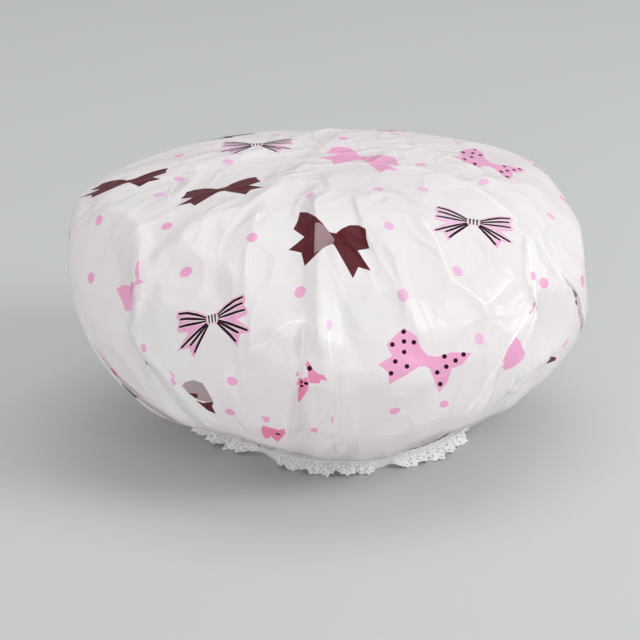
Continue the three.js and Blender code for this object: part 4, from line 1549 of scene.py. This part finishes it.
def meridian_place(group, place):
    """Coordinates that change fast round the cap and slowly up and down it."""
    work = partial(math_node, group)
    x, y, z = split_place(group, place)
    squares = work("ADD", work("MULTIPLY", x, x), work("MULTIPLY", y, y))
    radius = work("SQRT", work("ADD", squares, CROWN_EASE))
    scale = work("DIVIDE", PUFF_RADIUS, radius)
    drop = work("MULTIPLY", work("SUBTRACT", z, radius), CREASE_LENGTH)
    join = group.nodes.new("ShaderNodeCombineXYZ")
    for axis, value in zip("XYZ", (work("MULTIPLY", x, scale), work("MULTIPLY", y, scale), drop)):
        feed(group, join.inputs[axis], value)
    return join.outputs["Vector"]


def film_surface_group():
    """Soft film: sharp small creases, a frosted grain, and cloudy patches."""
    sizes = {"Creases": 1, "Frost": 1, "Cloud Scale": 16}
    group, start, end = new_group("soft film surface", sizes, ["Height", "Cloud", "Wear"])
    work, noise = partial(math_node, group), partial(noise_node, group)
    place = object_place(group)
    round_place = meridian_place(group, place)
    height = work("MULTIPLY", noise(round_place, WAVE_SCALE, detail=1), WAVE_SHARE)
    for runs_down, scale, share, width in CREASE_LAYERS:
        layer = noise(round_place if runs_down else place, scale, detail=1.5, roughness=0.4)
        layer = work("ABSOLUTE", work("SUBTRACT", layer, 0.5))
        layer = work("MAXIMUM", work("SUBTRACT", width, layer), 0)
        height = work("ADD", height, work("MULTIPLY", layer, share))
    height = work("MULTIPLY", height, start["Creases"])
    frost = work("MULTIPLY", noise(place, FROST_SCALE, detail=2), start["Frost"])
    feed(group, end["Height"], work("ADD", height, work("MULTIPLY", frost, FROST_SHARE)))
    cloud = work("MULTIPLY", noise(place, start["Cloud Scale"], detail=2), CLOUD_CONTRAST)
    cloud = work("SUBTRACT", cloud, CLOUD_FLOOR, clamp=True)
    feed(group, end["Cloud"], cloud)
    fine = noise(place, WEAR_SCALE, detail=4, roughness=0.7)
    feed(group, end["Wear"], work("MULTIPLY", fine, cloud))
    return group


def yarn_group():
    """Spun thread: twisted plies along one direction, with loose fibres, and painted shade between the
    plies.
    """
    group, start, end = new_group("spun thread", {"Scale": 900, "Twist": 1}, ["Height", "Painted Shade"])
    work = partial(math_node, group)
    place = object_place(group)
    wave = group.nodes.new("ShaderNodeTexWave")
    wave.wave_type = "BANDS"
    wave.bands_direction = "DIAGONAL"
    settings = {"Vector": place, "Scale": start["Scale"], "Distortion": PLY_DISTORTION, "Detail": 2}
    for label, value in settings.items():
        feed(group, wave.inputs[label], value)
    fibre = noise_node(group, place, FIBRE_SCALE, detail=3, roughness=0.7)
    twisted = work("MULTIPLY", wave.outputs["Fac"], start["Twist"])
    feed(group, end["Height"], work("ADD", twisted, work("MULTIPLY", fibre, FIBRE_SHARE)))
    # Darker where the plies dip: painted shade between the plies
    feed(group, end["Painted Shade"], work("ADD", work("MULTIPLY", twisted, 0.5), 0.5, clamp=True))
    return group


def rib_group():
    """Covered elastic: rubber cores run along the tape, and wrapped yarn crosses them, with painted shade in
    the grooves.
    """
    group, start, end = new_group("ribbed tape", {"Cores": 1600, "Wraps": 1200}, ["Height", "Painted Shade"])
    work = partial(math_node, group)
    x, y, z = split_place(group, object_place(group))
    core = work("ABSOLUTE", work("SINE", work("MULTIPLY", z, start["Cores"])))
    wraps = work("MULTIPLY", start["Wraps"], WRAP_SHARE)
    wrap = work("ABSOLUTE", work("SINE", work("MULTIPLY", work("ARCTAN2", y, x), wraps)))
    height = work("MULTIPLY", core, work("ADD", wrap, 0.5))
    feed(group, end["Height"], height)
    # Darker in the grooves between the ribs: painted shade
    feed(group, end["Painted Shade"], work("MULTIPLY", height, RIB_SHADE, clamp=True))
    return group


def new_material(name, roughness, specular):
    material = bpy.data.materials.new(name)
    material.use_nodes = True
    tree = material.node_tree
    shader = tree.nodes["Principled BSDF"]
    shader.inputs["Roughness"].default_value = roughness
    shader.inputs["Specular IOR Level"].default_value = specular
    return material, tree, shader


def place_group(tree, group, **values):
    """Places a node group with its own values, and returns its outputs."""
    node = tree.nodes.new("ShaderNodeGroup")
    node.node_tree = group
    for label, value in values.items():
        node.inputs[label].default_value = value
    return node.outputs


def blend_colours(tree, mask, low, high):
    """A colour between two, by a mask."""
    node = tree.nodes.new("ShaderNodeMix")
    node.data_type = "RGBA"
    for label, value in {"A": low, "B": high, "Factor": mask}.items():
        feed(tree, node.inputs[label], value)
    return node.outputs["Result"]


def add_bump(tree, shader, height, strength, distance):
    bump = tree.nodes.new("ShaderNodeBump")
    for label, value in {"Strength": strength, "Distance": distance, "Height": height}.items():
        feed(tree, bump.inputs[label], value)
    feed(tree, shader.inputs["Normal"], bump.outputs["Normal"])
    return bump.outputs["Normal"]


def let_light_through(tree, shader, colour, share, normal=None):
    """Mixes in light that passes through a thin sheet and scatters."""
    through = tree.nodes.new("ShaderNodeBsdfTranslucent")
    both = tree.nodes.new("ShaderNodeMixShader")
    feed(tree, both.inputs["Fac"], share)
    feed(tree, through.inputs["Color"], colour)
    if normal:
        feed(tree, through.inputs["Normal"], normal)
    feed(tree, both.inputs[1], shader.outputs["BSDF"])
    feed(tree, both.inputs[2], through.outputs["BSDF"])
    feed(tree, tree.nodes["Material Output"].inputs["Surface"], both.outputs["Shader"])


def film_material(name, group, low, high, roughness, specular, passing):
    """Thin film, bare or inked on its face: its colour varies a little between two."""
    material, tree, shader = new_material(name, roughness, specular)
    surface = place_group(tree, group)
    colour = blend_colours(tree, surface["Cloud"], low, high)
    feed(tree, shader.inputs["Base Color"], colour)
    rough = tree.nodes.new("ShaderNodeMapRange")
    feed(tree, rough.inputs["Value"], surface["Wear"])
    for label, change in zip(("To Min", "To Max"), WEAR_RANGE):
        feed(tree, rough.inputs[label], roughness + change)
    feed(tree, shader.inputs["Roughness"], rough.outputs["Result"])
    add_bump(tree, shader, surface["Height"], strength=1, distance=CREASE_HEIGHT)
    let_light_through(tree, shader, colour, passing)
    return material


def yarn_material(name, group, low, high, scale, passing):
    """Spun cotton, as lace or as sewing thread."""
    material, tree, shader = new_material(name, roughness=0.75, specular=0.3)
    spun = place_group(tree, group, Scale=scale)
    colour = blend_colours(tree, spun["Painted Shade"], low, high)
    feed(tree, shader.inputs["Base Color"], colour)
    shader.inputs["Sheen Weight"].default_value = YARN_SHEEN
    normal = add_bump(tree, shader, spun["Height"], strength=0.6, distance=PLY_HEIGHT)
    let_light_through(tree, shader, colour, passing, normal)
    return material


def elastic_material():
    material, tree, shader = new_material("covered elastic", roughness=0.7, specular=0.3)
    ribs = place_group(tree, rib_group())
    feed(tree, shader.inputs["Base Color"], blend_colours(tree, ribs["Painted Shade"], ELASTIC_LOW, ELASTIC_HIGH))
    add_bump(tree, shader, ribs["Height"], strength=0.8, distance=RIB_HEIGHT)
    return material


def floor_material():
    """Painted studio board with the faintest unevenness."""
    material, tree, shader = new_material("studio board", roughness=0.85, specular=0.2)
    patches = noise_node(tree, object_place(tree), scale=3, detail=2)
    feed(tree, shader.inputs["Base Color"], blend_colours(tree, patches, FLOOR_LOW, FLOOR_HIGH))
    return material


def dress(nodes, material):
    """Gives CAD nodes that stay a finished material."""
    for name in nodes:
        for slot in bpy.data.objects[name].material_slots:
            slot.material = material


def lamp(name, place, size, power):
    """A square lamp that faces the cap."""
    data = bpy.data.lights.new(name, "AREA")
    data.energy = power
    data.size = size
    obj = bpy.data.objects.new(name, data)
    bpy.context.scene.collection.objects.link(obj)
    obj.location = place
    obj.rotation_euler = (AIM - obj.location).to_track_quat("-Z", "Y").to_euler()


film = film_piece()
film_surface = film_surface_group()
for ink, finish in FILM_FINISHES.items():
    name = FINISH_NAMES.get(ink, f"{ink} ink on film")
    film.data.materials.append(film_material(name, film_surface, *finish))
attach(film, "root")
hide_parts("crown_film")

lace = lace_piece()
yarn = yarn_group()
# The lace's darker colour is painted shade between its plies
lace_colours = ((0.965, 0.955, 0.93), (0.985, 0.98, 0.97))
lace.data.materials.append(yarn_material("cotton lace", yarn, *lace_colours, scale=700, passing=0.12))
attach(lace, "root")
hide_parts("lace_trim")

dress(["elastic_band"], elastic_material())
threads = ["elastic_join_thread", "lace_join_thread", "needle_thread", "bobbin_thread"]
# The thread's darker colour is painted shade between its plies
thread_colours = ((0.84, 0.84, 0.83), (0.96, 0.96, 0.95))
dress(threads, yarn_material("sewing thread", yarn, *thread_colours, scale=1800, passing=0.1))

ends = (-FLOOR_HALF, FLOOR_HALF)
floor_corners = [(x, y, 0) for x in ends for y in ends]
floor = new_mesh("floor", floor_corners, [(0, 2, 3, 1)], smooth=False)
floor.data.materials.append(floor_material())

lamp("key", (1.8, -0.6, 1.1), size=0.9, power=22)
lamp("top", (0.2, 0.4, 2.2), size=1.4, power=10)
lamp("fill", (-0.6, -2.3, 0.12), size=1.4, power=21)

world = bpy.data.worlds.new("world")
bpy.context.scene.world = world
world.use_nodes = True
sky = world.node_tree.nodes["Background"]
sky.inputs["Color"].default_value = SKY_COLOUR
sky.inputs["Strength"].default_value = SKY_STRENGTH
bpy.context.scene.view_settings.view_transform = "Standard"

REPEATS * openwork_area()
